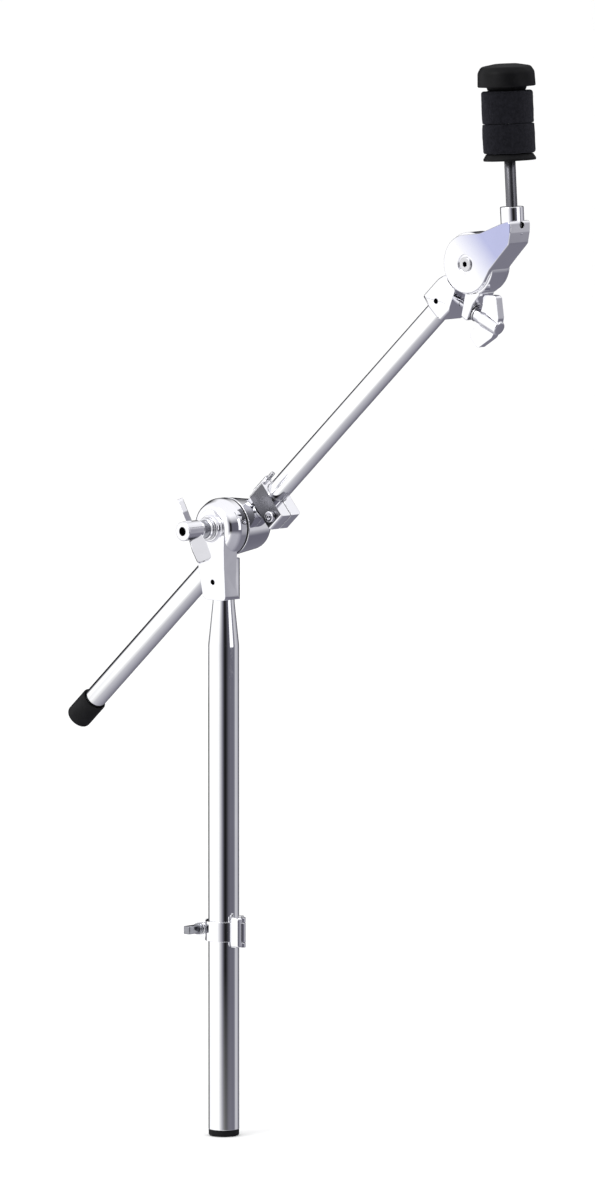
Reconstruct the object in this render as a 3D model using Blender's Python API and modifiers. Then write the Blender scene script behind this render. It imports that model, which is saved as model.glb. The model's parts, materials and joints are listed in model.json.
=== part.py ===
"""Cymbal boom stand: post, memory locks, boom tilter, boom tube, cymbal tilter and felts.

Metres, +Z up. The origin is the centre of the lower tube's bottom end. The boom swings in the
X-Z plane behind the post; the wing nut is on the -Y side.
"""

import math

import bpy
import bmesh
from mathutils import Matrix, Vector

MM = 0.001
GAP = 0.3 * MM                       # clearance between neighbouring pieces

# Post
POST_R = 11.1 * MM                   # 7/8 in tube
POST_WALL = 1.5 * MM
TAPER_Z0 = 355 * MM
TAPER_Z1 = 386 * MM
NECK_R = 7.9 * MM
NECK_TOP = 414 * MM
PLUG_H = 4.6 * MM

# Boom tilter (base casting on the post, clamp drum behind it)
PIVOT_Z = 440 * MM
BASE_Z0 = 388 * MM
BASE_FRONT_Y = -13.4 * MM
DRUM_R = 21 * MM
SEAM_Y0 = 2.6 * MM                   # rear face of the base drum
SEAM_Y1 = 4.5 * MM                   # front face of the clamp drum
BOLT_R = 4 * MM                      # M8
ROLL_PIN_R = 1.7 * MM

# Boom
BOOM_Y = 26.6 * MM
BOOM_ANGLE = math.radians(41.8)
BOOM_R = 7.95 * MM                   # 5/8 in tube
BOOM_WALL = 1.2 * MM
BOOM_END_S = -231.5 * MM             # outer end of the rubber cap
SOCKET_S = 252 * MM                  # mouth of the upper socket
HEAD_S = 300 * MM                    # cymbal tilter's pivot along the boom
HEAD_T = 2 * MM                      # and above its centre line

# Cymbal tilter
RING_IN = 17.2 * MM
RING_OUT = 22.4 * MM
RING_HALF_Y = 8 * MM
HEAD_HALF_Y = 12.4 * MM
DISC_R = 20.8 * MM
ROD_U = 36 * MM
ROD_LEAN = math.radians(3.5)
ROD_R = 4 * MM                       # M8
SLOT_ANGLE = math.radians(-113)
SLOT_HALF = 1.75 * MM
PINCH_DIR = math.radians(-25)        # wing bolt's direction in the tilter's plane
PINCH_SLOT = (-11.9 * MM, -29.6 * MM)     # where it crosses the slot
PINCH_R = 2.9 * MM                   # M6 bolt
WING_PITCH = math.radians(-49)       # the wing nut's blades are turned like a propeller's

# Cymbal stack, measured along the rod from pivot height
CUP_W = 74.6 * MM
CUP_H = 4.7 * MM
LOWER_FELT_H = 21.2 * MM
UPPER_FELT_H = 23.2 * MM
FELT_R = 18.6 * MM
KNOB_R = 20.2 * MM

# Memory lock on the post
POST_LOCK_Z = 148.7 * MM

PARTS = bpy.data.collections.new("cymbal_boom_stand")
TOOLS = bpy.data.collections.new("cutters")


# ---------------------------------------------------------------- helpers

def clear_scene():
    for old in list(bpy.data.objects):
        bpy.data.objects.remove(old, do_unlink=True)
    for group in (PARTS, TOOLS):
        bpy.context.scene.collection.children.link(group)


def material(name, colour, metallic, roughness):
    found = bpy.data.materials.get(name)
    if found:
        return found
    made = bpy.data.materials.new(name)
    made.use_nodes = True
    shader = made.node_tree.nodes["Principled BSDF"]
    shader.inputs["Base Color"].default_value = (*colour, 1)
    shader.inputs["Metallic"].default_value = metallic
    shader.inputs["Roughness"].default_value = roughness
    return made


def chrome():
    return material("chrome", (0.86, 0.87, 0.90), 1.0, 0.07)


def dark_chrome():
    return material("dark_chrome", (0.42, 0.43, 0.46), 1.0, 0.12)


def zinc_steel():
    return material("zinc_steel", (0.62, 0.62, 0.64), 1.0, 0.3)


def brass():
    return material("brass", (0.76, 0.58, 0.28), 1.0, 0.3)


def rubber():
    return material("black_rubber", (0.02, 0.02, 0.022), 0.0, 0.6)


def plastic():
    return material("black_plastic", (0.016, 0.016, 0.018), 0.0, 0.4)


def nylon():
    return material("white_nylon", (0.8, 0.8, 0.78), 0.0, 0.45)


def felt():
    return material("charcoal_felt", (0.02, 0.02, 0.024), 0.0, 0.95)


def empty(name, place, turn=(0, 0, 0), parent=None):
    made = bpy.data.objects.new(name, None)
    made.location = place
    made.rotation_euler = turn
    made.parent = parent
    PARTS.objects.link(made)
    return made


def place_object(name, mesh, frame, place, turn, tool):
    made = bpy.data.objects.new(name, mesh)
    made.parent = frame
    made.location = place
    made.rotation_euler = turn
    (TOOLS if tool else PARTS).objects.link(made)
    if tool:
        made.hide_render = True
        made.display_type = "WIRE"
    return made


def finish(piece, skin, sharp=35):
    """Give a piece its material and smooth its round faces."""
    piece.data.materials.clear()
    piece.data.materials.append(skin)
    piece.data.shade_smooth()
    piece.data.set_sharp_from_angle(angle=math.radians(sharp))
    return piece


def rod(name, radius, length, frame=None, place=(0, 0, 0), turn=(0, 0, 0), sides=24, top=None, tool=False):
    """A cylinder or cone along local Z from place upward."""
    shape = bmesh.new()
    bmesh.ops.create_cone(shape, cap_ends=True, segments=sides, radius1=radius,
                          radius2=radius if top is None else top, depth=length,
                          matrix=Matrix.Translation((0, 0, length / 2)))
    mesh = bpy.data.meshes.new(name)
    shape.to_mesh(mesh)
    shape.free()
    return place_object(name, mesh, frame, place, turn, tool)


def block(name, low, high, frame=None, place=(0, 0, 0), turn=(0, 0, 0), tool=False):
    """A box between two corners."""
    low, high = Vector(low), Vector(high)
    size = high - low
    shape = bmesh.new()
    bmesh.ops.create_cube(shape, size=1,
                          matrix=Matrix.Translation((low + high) / 2) @ Matrix.Diagonal((*size, 1)))
    mesh = bpy.data.meshes.new(name)
    shape.to_mesh(mesh)
    shape.free()
    return place_object(name, mesh, frame, place, turn, tool)


def turned(name, profile, frame=None, place=(0, 0, 0), turn=(0, 0, 0), sides=32, closed=False, tool=False):
    """A turned piece: profile is (radius, height) points down its outer side, top to bottom."""
    mesh = bpy.data.meshes.new(name)
    count = len(profile)
    lines = [(i, i + 1) for i in range(count - 1)]
    if closed:
        lines.append((count - 1, 0))
    mesh.from_pydata([(r, 0, z) for r, z in profile], lines, [])
    piece = place_object(name, mesh, frame, place, turn, tool)
    spin = piece.modifiers.new("turn", "SCREW")
    spin.axis = "Z"
    spin.steps = sides
    spin.render_steps = sides
    spin.use_merge_vertices = True
    spin.merge_threshold = 0.00001
    spin.use_smooth_shade = True
    return piece


def plate(name, outline, thickness, frame=None, place=(0, 0, 0), turn=(0, 0, 0), tool=False):
    """A flat plate: the outline lies in local X-Y and the thickness is centred on it."""
    curve = bpy.data.curves.new(name, "CURVE")
    curve.dimensions = "2D"
    curve.fill_mode = "BOTH"
    curve.extrude = thickness / 2
    line = curve.splines.new("POLY")
    line.points.add(len(outline) - 1)
    for point, (x, y) in zip(line.points, outline):
        point.co = (x, y, 0, 1)
    line.use_cyclic_u = True
    sheet = bpy.data.objects.new(name + "_curve", curve)
    TOOLS.objects.link(sheet)
    mesh = mesh_of(sheet, name)
    return place_object(name, mesh, frame, place, turn, tool)


def wire(name, points, radius, frame=None, place=(0, 0, 0), turn=(0, 0, 0)):
    """A round wire through computed points, with closed ends."""
    curve = bpy.data.curves.new(name, "CURVE")
    curve.dimensions = "3D"
    curve.bevel_depth = radius
    curve.bevel_resolution = 2
    curve.use_fill_caps = True
    line = curve.splines.new("POLY")
    line.points.add(len(points) - 1)
    for point, where in zip(line.points, points):
        point.co = (*where, 1)
    guide = bpy.data.objects.new(name + "_curve", curve)
    TOOLS.objects.link(guide)
    mesh = mesh_of(guide, name)
    return place_object(name, mesh, frame, place, turn, False)


def mesh_of(source, name):
    """The evaluated mesh of a curve object, with its caps welded; the curve is removed."""
    bpy.context.view_layer.update()
    graph = bpy.context.evaluated_depsgraph_get()
    mesh = bpy.data.meshes.new_from_object(source.evaluated_get(graph))
    mesh.name = name
    bpy.data.objects.remove(source, do_unlink=True)
    shape = bmesh.new()
    shape.from_mesh(mesh)
    bmesh.ops.remove_doubles(shape, verts=shape.verts, dist=0.000001)
    bmesh.ops.recalc_face_normals(shape, faces=shape.faces)
    shape.to_mesh(mesh)
    shape.free()
    return mesh


def boolean(piece, tool, operation):
    step = piece.modifiers.new(operation.lower(), "BOOLEAN")
    step.operation = operation
    step.solver = "EXACT"
    step.object = tool
    return piece


def cut(piece, *tools):
    for tool in tools:
        boolean(piece, tool, "DIFFERENCE")
    return piece


def add(piece, *tools):
    for tool in tools:
        boolean(piece, tool, "UNION")
    return piece


def keep(piece, *tools):
    for tool in tools:
        boolean(piece, tool, "INTERSECT")
    return piece


def soften(piece, width, segments=1, angle=40):
    edge = piece.modifiers.new("edges", "BEVEL")
    edge.width = width
    edge.segments = segments
    edge.limit_method = "ANGLE"
    edge.angle_limit = math.radians(angle)
    return piece


def arc(x, y, radius, start, end, steps):
    """Points on an arc, angles in degrees, both ends included."""
    turn = [math.radians(start + (end - start) * i / steps) for i in range(steps + 1)]
    return [(x + radius * math.cos(a), y + radius * math.sin(a)) for a in turn]


def tube_profile(outer, inner, low, high):
    return [(outer, high), (outer, low), (inner, low), (inner, high)]


ALONG_MINUS_Y = (math.pi / 2, 0, 0)       # local Z points to -Y, local Y points to +Z
ALONG_PLUS_Y = (-math.pi / 2, 0, 0)       # local Z points to +Y
ALONG_PLUS_X = (0, math.pi / 2, 0)        # local Z points to +X, local X points to -Z


# ---------------------------------------------------------------- post

def lower_tube():
    inner = POST_R - POST_WALL
    neck_inner = NECK_R - POST_WALL
    outside = [(NECK_R, NECK_TOP), (NECK_R, TAPER_Z1), (POST_R, TAPER_Z0), (POST_R, PLUG_H)]
    inside = [(inner, PLUG_H), (inner, TAPER_Z0), (neck_inner, TAPER_Z1), (neck_inner, NECK_TOP)]
    tube = turned("lower_tube", outside + inside, closed=True, sides=30)
    hole = rod("post_pin_hole", ROLL_PIN_R + GAP, 40 * MM, place=(0, 20 * MM, 401 * MM),
               turn=ALONG_MINUS_Y, sides=16, tool=True)
    return finish(cut(tube, hole), chrome())


def lower_tube_plug():
    stem = POST_R - POST_WALL - GAP
    rim = [(0, 16 * MM), (stem - 1 * MM, 16 * MM), (stem, 15 * MM), (stem, PLUG_H - GAP),
           (POST_R, PLUG_H - GAP), (POST_R, 2 * MM), (POST_R - 0.6 * MM, 0.6 * MM),
           (POST_R - 2 * MM, 0), (0, 0)]
    return finish(turned("lower_tube_plug", rim, sides=32), rubber())


# ---------------------------------------------------------------- memory locks

class LockSize:
    """A hinged two-piece tube clamp. Local Z is the tube, the hinge is at +X, the ears at -X."""

    def __init__(self, tube, half_height, hinge_x, knuckle_r, outer, screw_x):
        self.bore = tube + GAP
        self.half = half_height
        self.hinge_x = hinge_x
        self.knuckle_r = knuckle_r
        self.outer = outer               # outline of the +Y half, local X-Y
        self.screw_x = screw_x


SPLIT = 0.4 * MM                     # half the gap between the two halves
SCREW_R = 2.4 * MM                   # M5
HINGE_PIN_R = 1.25 * MM
LEAF = 3.4 * MM                      # height of the outer hinge knuckles
KNUCKLE_GAP = 0.35 * MM
TRIM = 0.8 * MM


BODY, JAW = -1, 1                    # the side of local Y that each half is on


def lock_half(name, size, frame, side, web):
    """One half of a lock: the body carries the screw's head, the jaw is threaded."""
    outline = [(x, side * y) for x, y in size.outer]
    if side < 0:
        outline.reverse()
    half = plate(name, outline, 2 * size.half, frame)
    end = size.half + web
    inner = end - LEAF - KNUCKLE_GAP
    # the knuckles overshoot by TRIM; clear_knuckles cuts them to length
    if side == BODY:
        leaves, depth = [(-end, LEAF - end + TRIM), (end - LEAF - TRIM, end)], size.knuckle_r + 2 * MM
    else:
        leaves, depth = [(-inner - TRIM, inner + TRIM)], size.knuckle_r
    for i, (low, high) in enumerate(leaves):
        near, far = sorted((side * SPLIT, side * depth))
        arm = block(f"{name}_arm_{i}", (size.bore + 1.1 * MM, near, low), (size.hinge_x, far, high),
                    frame, tool=True)
        eye = rod(f"{name}_eye_{i}", size.knuckle_r, high - low, frame,
                  (size.hinge_x, 0, low), sides=20, tool=True)
        add(half, arm, eye)
    return half


def clear_knuckles(half, size, frame, side, web):
    """Cut room for the other half's knuckles, then the tube bore and the pin hole."""
    end = size.half + web
    inner = end - LEAF - KNUCKLE_GAP
    if side == BODY:
        spans = [(-inner - KNUCKLE_GAP, inner + KNUCKLE_GAP)]
    else:
        spans = [(-end - 1 * MM, -inner), (inner, end + 1 * MM)]
    for i, (low, high) in enumerate(spans):
        cut(half, rod(f"{half.name}_room_{i}", size.knuckle_r + 0.45 * MM, high - low, frame,
                      (size.hinge_x, 0, low), sides=20, tool=True))
    reach = end + 6 * MM
    cut(half, rod(f"{half.name}_bore", size.bore, 2 * reach, frame, (0, 0, -reach), sides=32, tool=True))
    cut(half, rod(f"{half.name}_pin_hole", HINGE_PIN_R + GAP, 2 * reach, frame,
                  (size.hinge_x, 0, -reach), sides=12, tool=True))
    return half


def lock_screw_hole(half, size, frame, radius):
    return cut(half, rod(f"{half.name}_screw_hole", radius, 60 * MM, frame,
                         (size.screw_x, 30 * MM, 0), ALONG_MINUS_Y, sides=16, tool=True))


def hinge_pin(name, size, frame, web):
    length = 2 * (size.half + web)
    head = HINGE_PIN_R + 0.9 * MM
    top = length + GAP + 0.9 * MM
    shape = [(0, top), (head - 0.4 * MM, top), (head, top - 0.4 * MM), (head, length + GAP),
             (HINGE_PIN_R, length + GAP), (HINGE_PIN_R, -0.2 * MM), (0, -0.2 * MM)]
    pin = turned(name, shape, frame, (size.hinge_x, 0, -size.half - web), sides=14)
    return finish(pin, zinc_steel())


def lock_washer(name, size, frame, y):
    """A flat washer against the jaw's ear; y is its inner face."""
    washer = turned(name, tube_profile(4.4 * MM, SCREW_R + GAP, 0, 1 * MM), frame,
                    (size.screw_x, y, 0), ALONG_MINUS_Y, closed=True, sides=20)
    return finish(washer, zinc_steel())


def lock_screw(name, size, frame, head_y, reach, square):
    """A drum-key screw along -Y. head_y is the underside of its head, reach its shank."""
    screw = rod(name, SCREW_R, reach, frame, (size.screw_x, head_y + reach, 0), ALONG_MINUS_Y, sides=16)
    profile = [(0, 3 * MM), (3.4 * MM, 3 * MM), (4 * MM, 2.4 * MM), (4 * MM, 0), (0, 0)]
    collar = turned(f"{name}_collar", profile, frame, (size.screw_x, head_y, 0),
                    ALONG_MINUS_Y, sides=16, tool=True)
    add(screw, collar)
    if square:
        half = 2.9 * MM
        key = block(f"{name}_key", (-half, -half, 0), (half, half, square), frame,
                    (size.screw_x, head_y, 0), ALONG_MINUS_Y, tool=True)
        add(screw, soften(key, 0.5 * MM))
    else:
        drive = rod(f"{name}_drive", 1.9 * MM, 3 * MM, frame, (size.screw_x, head_y - 1.2 * MM, 0),
                    ALONG_MINUS_Y, sides=6, tool=True)
        cut(screw, drive)
    return finish(screw, zinc_steel())


def post_lock():
    frame = empty("post_lock_frame", (0, 0, POST_LOCK_Z))
    ring, ear_end, ear_y = 13.3 * MM, -23 * MM, 4.4 * MM
    start = math.degrees(math.asin(SPLIT / ring))
    meet = 180 - math.degrees(math.asin(ear_y / ring))
    ear = [(ear_end + 1 * MM, ear_y), (ear_end, ear_y - 1 * MM), (ear_end, SPLIT)]
    outer = arc(0, 0, ring, start, meet, 14) + ear
    size = LockSize(POST_R, 7.1 * MM, 17.4 * MM, 3.2 * MM, outer, -18.6 * MM)
    web = 3.7 * MM
    taper = [(ear_end - 1 * MM, -8 * MM), (-12 * MM, -8 * MM), (ear_end - 1 * MM, -4.2 * MM)]
    for side, name in ((BODY, "lower_lock_body"), (JAW, "lower_lock_jaw")):
        half = lock_half(name, size, frame, side, web)
        if side == BODY:
            reach = size.half + web - 0.5 * MM
            leaf = block("lower_lock_leaf", (size.bore + 1 * MM, -6.2 * MM, -reach),
                         (size.hinge_x + 2.6 * MM, -SPLIT - 0.3 * MM, reach), frame, tool=True)
            add(half, leaf)
        clear_knuckles(half, size, frame, side, web)
        lock_screw_hole(half, size, frame, SCREW_R + (0.7 * MM if side == JAW else GAP))
        for i, flip in enumerate((1, -1)):
            corner = plate(f"{name}_ear_taper_{i}", [(x, y * flip) for x, y in taper], 30 * MM, frame,
                           turn=ALONG_MINUS_Y, tool=True)
            cut(half, corner)
        finish(half, chrome())
    hinge_pin("lower_lock_hinge_pin", size, frame, web)
    lock_washer("lower_lock_washer", size, frame, -ear_y - GAP)
    lock_screw("lower_lock_screw", size, frame, -ear_y - 1 * MM - 2 * GAP, 12.4 * MM, 13.5 * MM)


def boom_lock(boom_frame):
    frame = empty("boom_lock_frame", (29.4 * MM, 0, 0), (0, -math.pi / 2, 0), boom_frame)
    half_y, foot, top, corner = 10 * MM, -20.7 * MM, 10.4 * MM, 2.6 * MM
    outer = [(top, SPLIT), (top, half_y - corner), (top - corner, half_y),
             (foot + corner, half_y), (foot, half_y - corner), (foot, SPLIT)]
    size = LockSize(BOOM_R, 8 * MM, 12.9 * MM, 2.7 * MM, outer, -14.8 * MM)
    for side, name in ((BODY, "boom_lock_body"), (JAW, "boom_lock_jaw")):
        half = lock_half(name, size, frame, side, 0)
        if side == BODY:
            key = block("boom_lock_key", (4 * MM, -9.6 * MM, 7 * MM), (9 * MM, -4 * MM, 12.2 * MM),
                        frame, tool=True)
            add(half, key)
        clear_knuckles(half, size, frame, side, 0)
        lock_screw_hole(half, size, frame, SCREW_R + (0.7 * MM if side == JAW else GAP))
        finish(half, chrome())
    hinge_pin("boom_lock_hinge_pin", size, frame, 0)
    lock_screw("boom_lock_screw", size, frame, -half_y - GAP, 18.6 * MM, 0)


# ---------------------------------------------------------------- boom tilter

def base_stem():
    """The U-section stem, from a front outline kept inside a side outline and a U from above."""
    front = [(-10.9 * MM, BASE_Z0), (-12.7 * MM, 410 * MM), (-13.6 * MM, PIVOT_Z)]
    front += arc(0, PIVOT_Z, 13.6 * MM, 180, 0, 14)[1:]
    front += [(12.7 * MM, 410 * MM), (10.9 * MM, BASE_Z0)]
    front.reverse()
    stem = plate("tilter_base", front, 60 * MM, turn=ALONG_MINUS_Y)
    side = [(-9.4 * MM, BASE_Z0 - 1 * MM), (-12.6 * MM, 410 * MM), (BASE_FRONT_Y, 425 * MM),
            (BASE_FRONT_Y, 470 * MM), (SEAM_Y0 - 0.7 * MM, 470 * MM), (SEAM_Y0 - 0.7 * MM, 417.5 * MM),
            (14 * MM, 417.5 * MM), (14 * MM, BASE_Z0 - 1 * MM)]
    side_plate = plate("base_side", side, 60 * MM, turn=(math.pi / 2, 0, math.pi / 2), tool=True)
    round_back = [(13.8 * MM, -30 * MM), (13.8 * MM, 0)] + arc(0, 0, 11.6 * MM, 0, 180, 16)
    round_back += [(-13.8 * MM, 0), (-13.8 * MM, -30 * MM)]
    above = plate("base_above", round_back, 100 * MM, place=(0, 0, 430 * MM), tool=True)
    return keep(stem, side_plate, above)


def tilter_base():
    stem = base_stem()
    dome = [(0, 0), (DRUM_R - 0.4 * MM, 0), (DRUM_R, -0.5 * MM), (DRUM_R, -8 * MM), (20 * MM, -11.6 * MM),
            (17.6 * MM, -14.2 * MM), (14.4 * MM, -15.6 * MM), (0, -15.8 * MM)]
    drum = turned("base_drum", dome, place=(0, SEAM_Y0, PIVOT_Z), turn=ALONG_PLUS_Y, sides=32, tool=True)
    profile = [(0, 4.1 * MM), (8.6 * MM, 4.1 * MM), (9.6 * MM, 3.1 * MM), (9.6 * MM, 0), (0, 0)]
    boss = turned("base_boss", profile, place=(0, BASE_FRONT_Y + 1.3 * MM, PIVOT_Z),
                  turn=ALONG_MINUS_Y, sides=28, tool=True)
    add(stem, drum, boss)
    socket = rod("neck_socket", NECK_R + GAP, 28 * MM, place=(0, 0, 386.6 * MM), sides=28, tool=True)
    bolt_hole = rod("bolt_hole", BOLT_R + GAP, 60 * MM, place=(0, 30 * MM, PIVOT_Z),
                    turn=ALONG_MINUS_Y, sides=20, tool=True)
    spring_pocket = rod("spring_pocket", 7.6 * MM, 10 * MM, place=(0, SEAM_Y0 + 2 * MM, PIVOT_Z),
                        turn=ALONG_MINUS_Y, sides=22, tool=True)
    pin_hole = rod("base_pin_hole", ROLL_PIN_R + GAP, 60 * MM, place=(0, 30 * MM, 401 * MM),
                   turn=ALONG_MINUS_Y, sides=16, tool=True)
    cut(stem, spring_pocket, pin_hole, socket, bolt_hole)
    return finish(stem, chrome())


def roll_pin(name, length, frame, place, turn):
    """A hollow spring pin."""
    pin = turned(name, tube_profile(ROLL_PIN_R, ROLL_PIN_R - 0.5 * MM, 0, length), frame, place, turn,
                 closed=True, sides=14)
    return finish(pin, zinc_steel())


def friction_disc():
    ring = [(DRUM_R - 1.1 * MM, 1.2 * MM), (DRUM_R - 1.1 * MM, 0), (9.5 * MM, 0), (9.5 * MM, 1.2 * MM)]
    disc = turned("friction_disc", ring, place=(0, SEAM_Y0 + GAP, PIVOT_Z), turn=ALONG_PLUS_Y,
                  closed=True, sides=30)
    return finish(disc, plastic())


def release_spring():
    """Pushes the two drums apart when the wing nut is loosened."""
    turns, per_turn, coil, length = 5, 14, 5.9 * MM, 12.2 * MM
    points = []
    for i in range(turns * per_turn + 1):
        a = 2 * math.pi * i / per_turn
        points.append((coil * math.cos(a), coil * math.sin(a), length * i / (turns * per_turn)))
    spring = wire("release_spring", points, 0.7 * MM, place=(0, SEAM_Y0 - 6.8 * MM, PIVOT_Z),
                  turn=ALONG_PLUS_Y)
    return finish(spring, zinc_steel())


def boom_clamp(boom_frame):
    """The rear drum, which the boom passes through."""
    front = SEAM_Y1 - BOOM_Y
    shell = [(0, 13.4 * MM), (6 * MM, 13 * MM), (11 * MM, 10.8 * MM), (15.4 * MM, 7 * MM),
             (18.3 * MM, 1.4 * MM), (19.7 * MM, -6.6 * MM), (20.6 * MM, -14.6 * MM),
             (DRUM_R, front + 0.6 * MM), (DRUM_R - 0.4 * MM, front), (0, front)]
    drum = turned("boom_clamp", shell, boom_frame, turn=ALONG_PLUS_Y, sides=32)
    bore = rod("clamp_bore", BOOM_R + 1.3 * MM, 60 * MM, boom_frame, (-30 * MM, 0, 0),
               ALONG_PLUS_X, 28, tool=True)
    eye_room = rod("eye_room", 12 * MM, 9 * MM, boom_frame, (-4.5 * MM, 0, 0), ALONG_PLUS_X, 24, tool=True)
    shank_hole = rod("shank_hole", BOLT_R + GAP, 40 * MM, boom_frame, (0, 0, 0), ALONG_MINUS_Y, 20, tool=True)
    pocket = rod("clamp_pocket", 7.6 * MM, 6 * MM, boom_frame, (0, front - 1 * MM, 0),
                 ALONG_PLUS_Y, 24, tool=True)
    notch = block("key_notch", (16.4 * MM, -10.4 * MM, 3.2 * MM), (24 * MM, -3.2 * MM, 9.8 * MM),
                  boom_frame, tool=True)
    return finish(cut(drum, bore, eye_room, shank_hole, pocket, notch), chrome())


def boom_bush(name, boom_frame, side):
    """A nylon liner between the drum and the boom, one at each side of the eye."""
    inner, outer = BOOM_R + GAP, BOOM_R + 1.0 * MM
    near, far = 4.9 * MM, 15.6 * MM
    start = near if side > 0 else -far
    bush = turned(name, tube_profile(outer, inner, 0, far - near), boom_frame, (start, 0, 0),
                  ALONG_PLUS_X, closed=True, sides=28)
    return finish(bush, nylon())


def eye_bolt(boom_frame):
    """The boom runs through the eye; the wing nut pulls it forward and clamps everything."""
    eye = turned("eye_bolt", tube_profile(11.4 * MM, BOOM_R + GAP, 0, 8 * MM), boom_frame, (-4 * MM, 0, 0),
                 ALONG_PLUS_X, closed=True, sides=28)
    shank = rod("eye_shank", BOLT_R, 54.4 * MM, boom_frame, (0, -9.6 * MM, 0), ALONG_MINUS_Y, 20, tool=True)
    return finish(add(eye, shank), zinc_steel())


def wings(name, hub, frame, outline, thick, spin, height, pitch):
    """Two wings on a hub along local Z. The outline is (distance from the axis, height) in mm."""
    for i in range(2):
        turn = Matrix.Rotation(spin + i * math.pi, 4, "Z") @ Matrix.Rotation(pitch, 4, "X")
        blade = plate(f"{name}_wing_{i}", [(r * MM, h * MM) for r, h in outline], thick, frame,
                      (0, 0, height), turn.to_euler(), tool=True)
        add(hub, soften(blade, 0.9 * MM, 1, 60))
    return hub


def nut_washer(boom_frame):
    washer = turned("wing_nut_washer", tube_profile(8.4 * MM, BOLT_R + GAP, 0, 1.6 * MM), boom_frame,
                    (0, BASE_FRONT_Y - 2.8 * MM - GAP - BOOM_Y, 0), ALONG_MINUS_Y, closed=True, sides=26)
    return finish(washer, zinc_steel())


def wing_nut(boom_frame):
    face = BASE_FRONT_Y - 2.8 * MM - 2 * GAP - 1.6 * MM
    frame = empty("wing_nut_frame", (0, face - BOOM_Y, 0), (math.pi / 2, 0, 0), boom_frame)
    length = 42.4 * MM + face
    inner = BOLT_R + GAP
    profile = [(6.4 * MM, length), (7 * MM, length - 0.7 * MM), (7 * MM, 9 * MM), (6.4 * MM, 7.4 * MM),
               (6.4 * MM, 1 * MM), (7.6 * MM, 0), (inner, 0), (inner, length - 4 * MM),
               (3 * MM, length - 2.6 * MM), (3 * MM, length)]
    hub = turned("wing_nut", profile, frame, closed=True, sides=28)
    # the wings stand 30 degrees left of upright, whatever the boom's angle
    spin = math.radians(120) - BOOM_ANGLE
    wing = [(2, -4.6), (13.5, -5.7), (22.5, -5.3), (24.5, -3), (24.5, 3), (22.5, 5.3), (12, 5.7), (2, 3.9)]
    wings("wing_nut", hub, frame, wing, 3.8 * MM, spin, 13.4 * MM, WING_PITCH)
    hole = rod("wing_nut_bore", inner, length - 4 * MM, frame, (0, 0, -1 * MM), sides=20, tool=True)
    mouth = rod("wing_nut_mouth", 3 * MM, 8 * MM, frame, (0, 0, length - 5.5 * MM), sides=20, tool=True)
    return finish(cut(hub, hole, mouth), chrome())


# ---------------------------------------------------------------- boom

def boom_tube(boom_frame):
    low, high = BOOM_END_S + 2.4 * MM, SOCKET_S + 13 * MM
    tube = turned("boom_tube", tube_profile(BOOM_R, BOOM_R - BOOM_WALL, 0, high - low), boom_frame,
                  (low, 0, 0), ALONG_PLUS_X, closed=True, sides=28)
    hole = rod("tube_pin_hole", ROLL_PIN_R + GAP, 40 * MM, boom_frame, (260.4 * MM, 20 * MM, 0),
               ALONG_MINUS_Y, sides=14, tool=True)
    return finish(cut(tube, hole), chrome())


def boom_end_cap(boom_frame):
    length, skin = 22.6 * MM, BOOM_R + 1.45 * MM
    inner = BOOM_R + GAP
    profile = [(skin - 0.5 * MM, length), (skin, length - 0.8 * MM), (skin, 3 * MM),
               (skin - 0.8 * MM, 1 * MM), (skin - 2.6 * MM, 0), (0, 0),
               (0, 2 * MM), (inner, 2 * MM), (inner, length)]
    cap = turned("boom_end_cap", profile, boom_frame, (BOOM_END_S, 0, 0), ALONG_PLUS_X, closed=True, sides=28)
    return finish(cap, rubber())


# ---------------------------------------------------------------- cymbal tilter

def polar(radius, angle):
    return (radius * math.cos(angle), radius * math.sin(angle))


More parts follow.
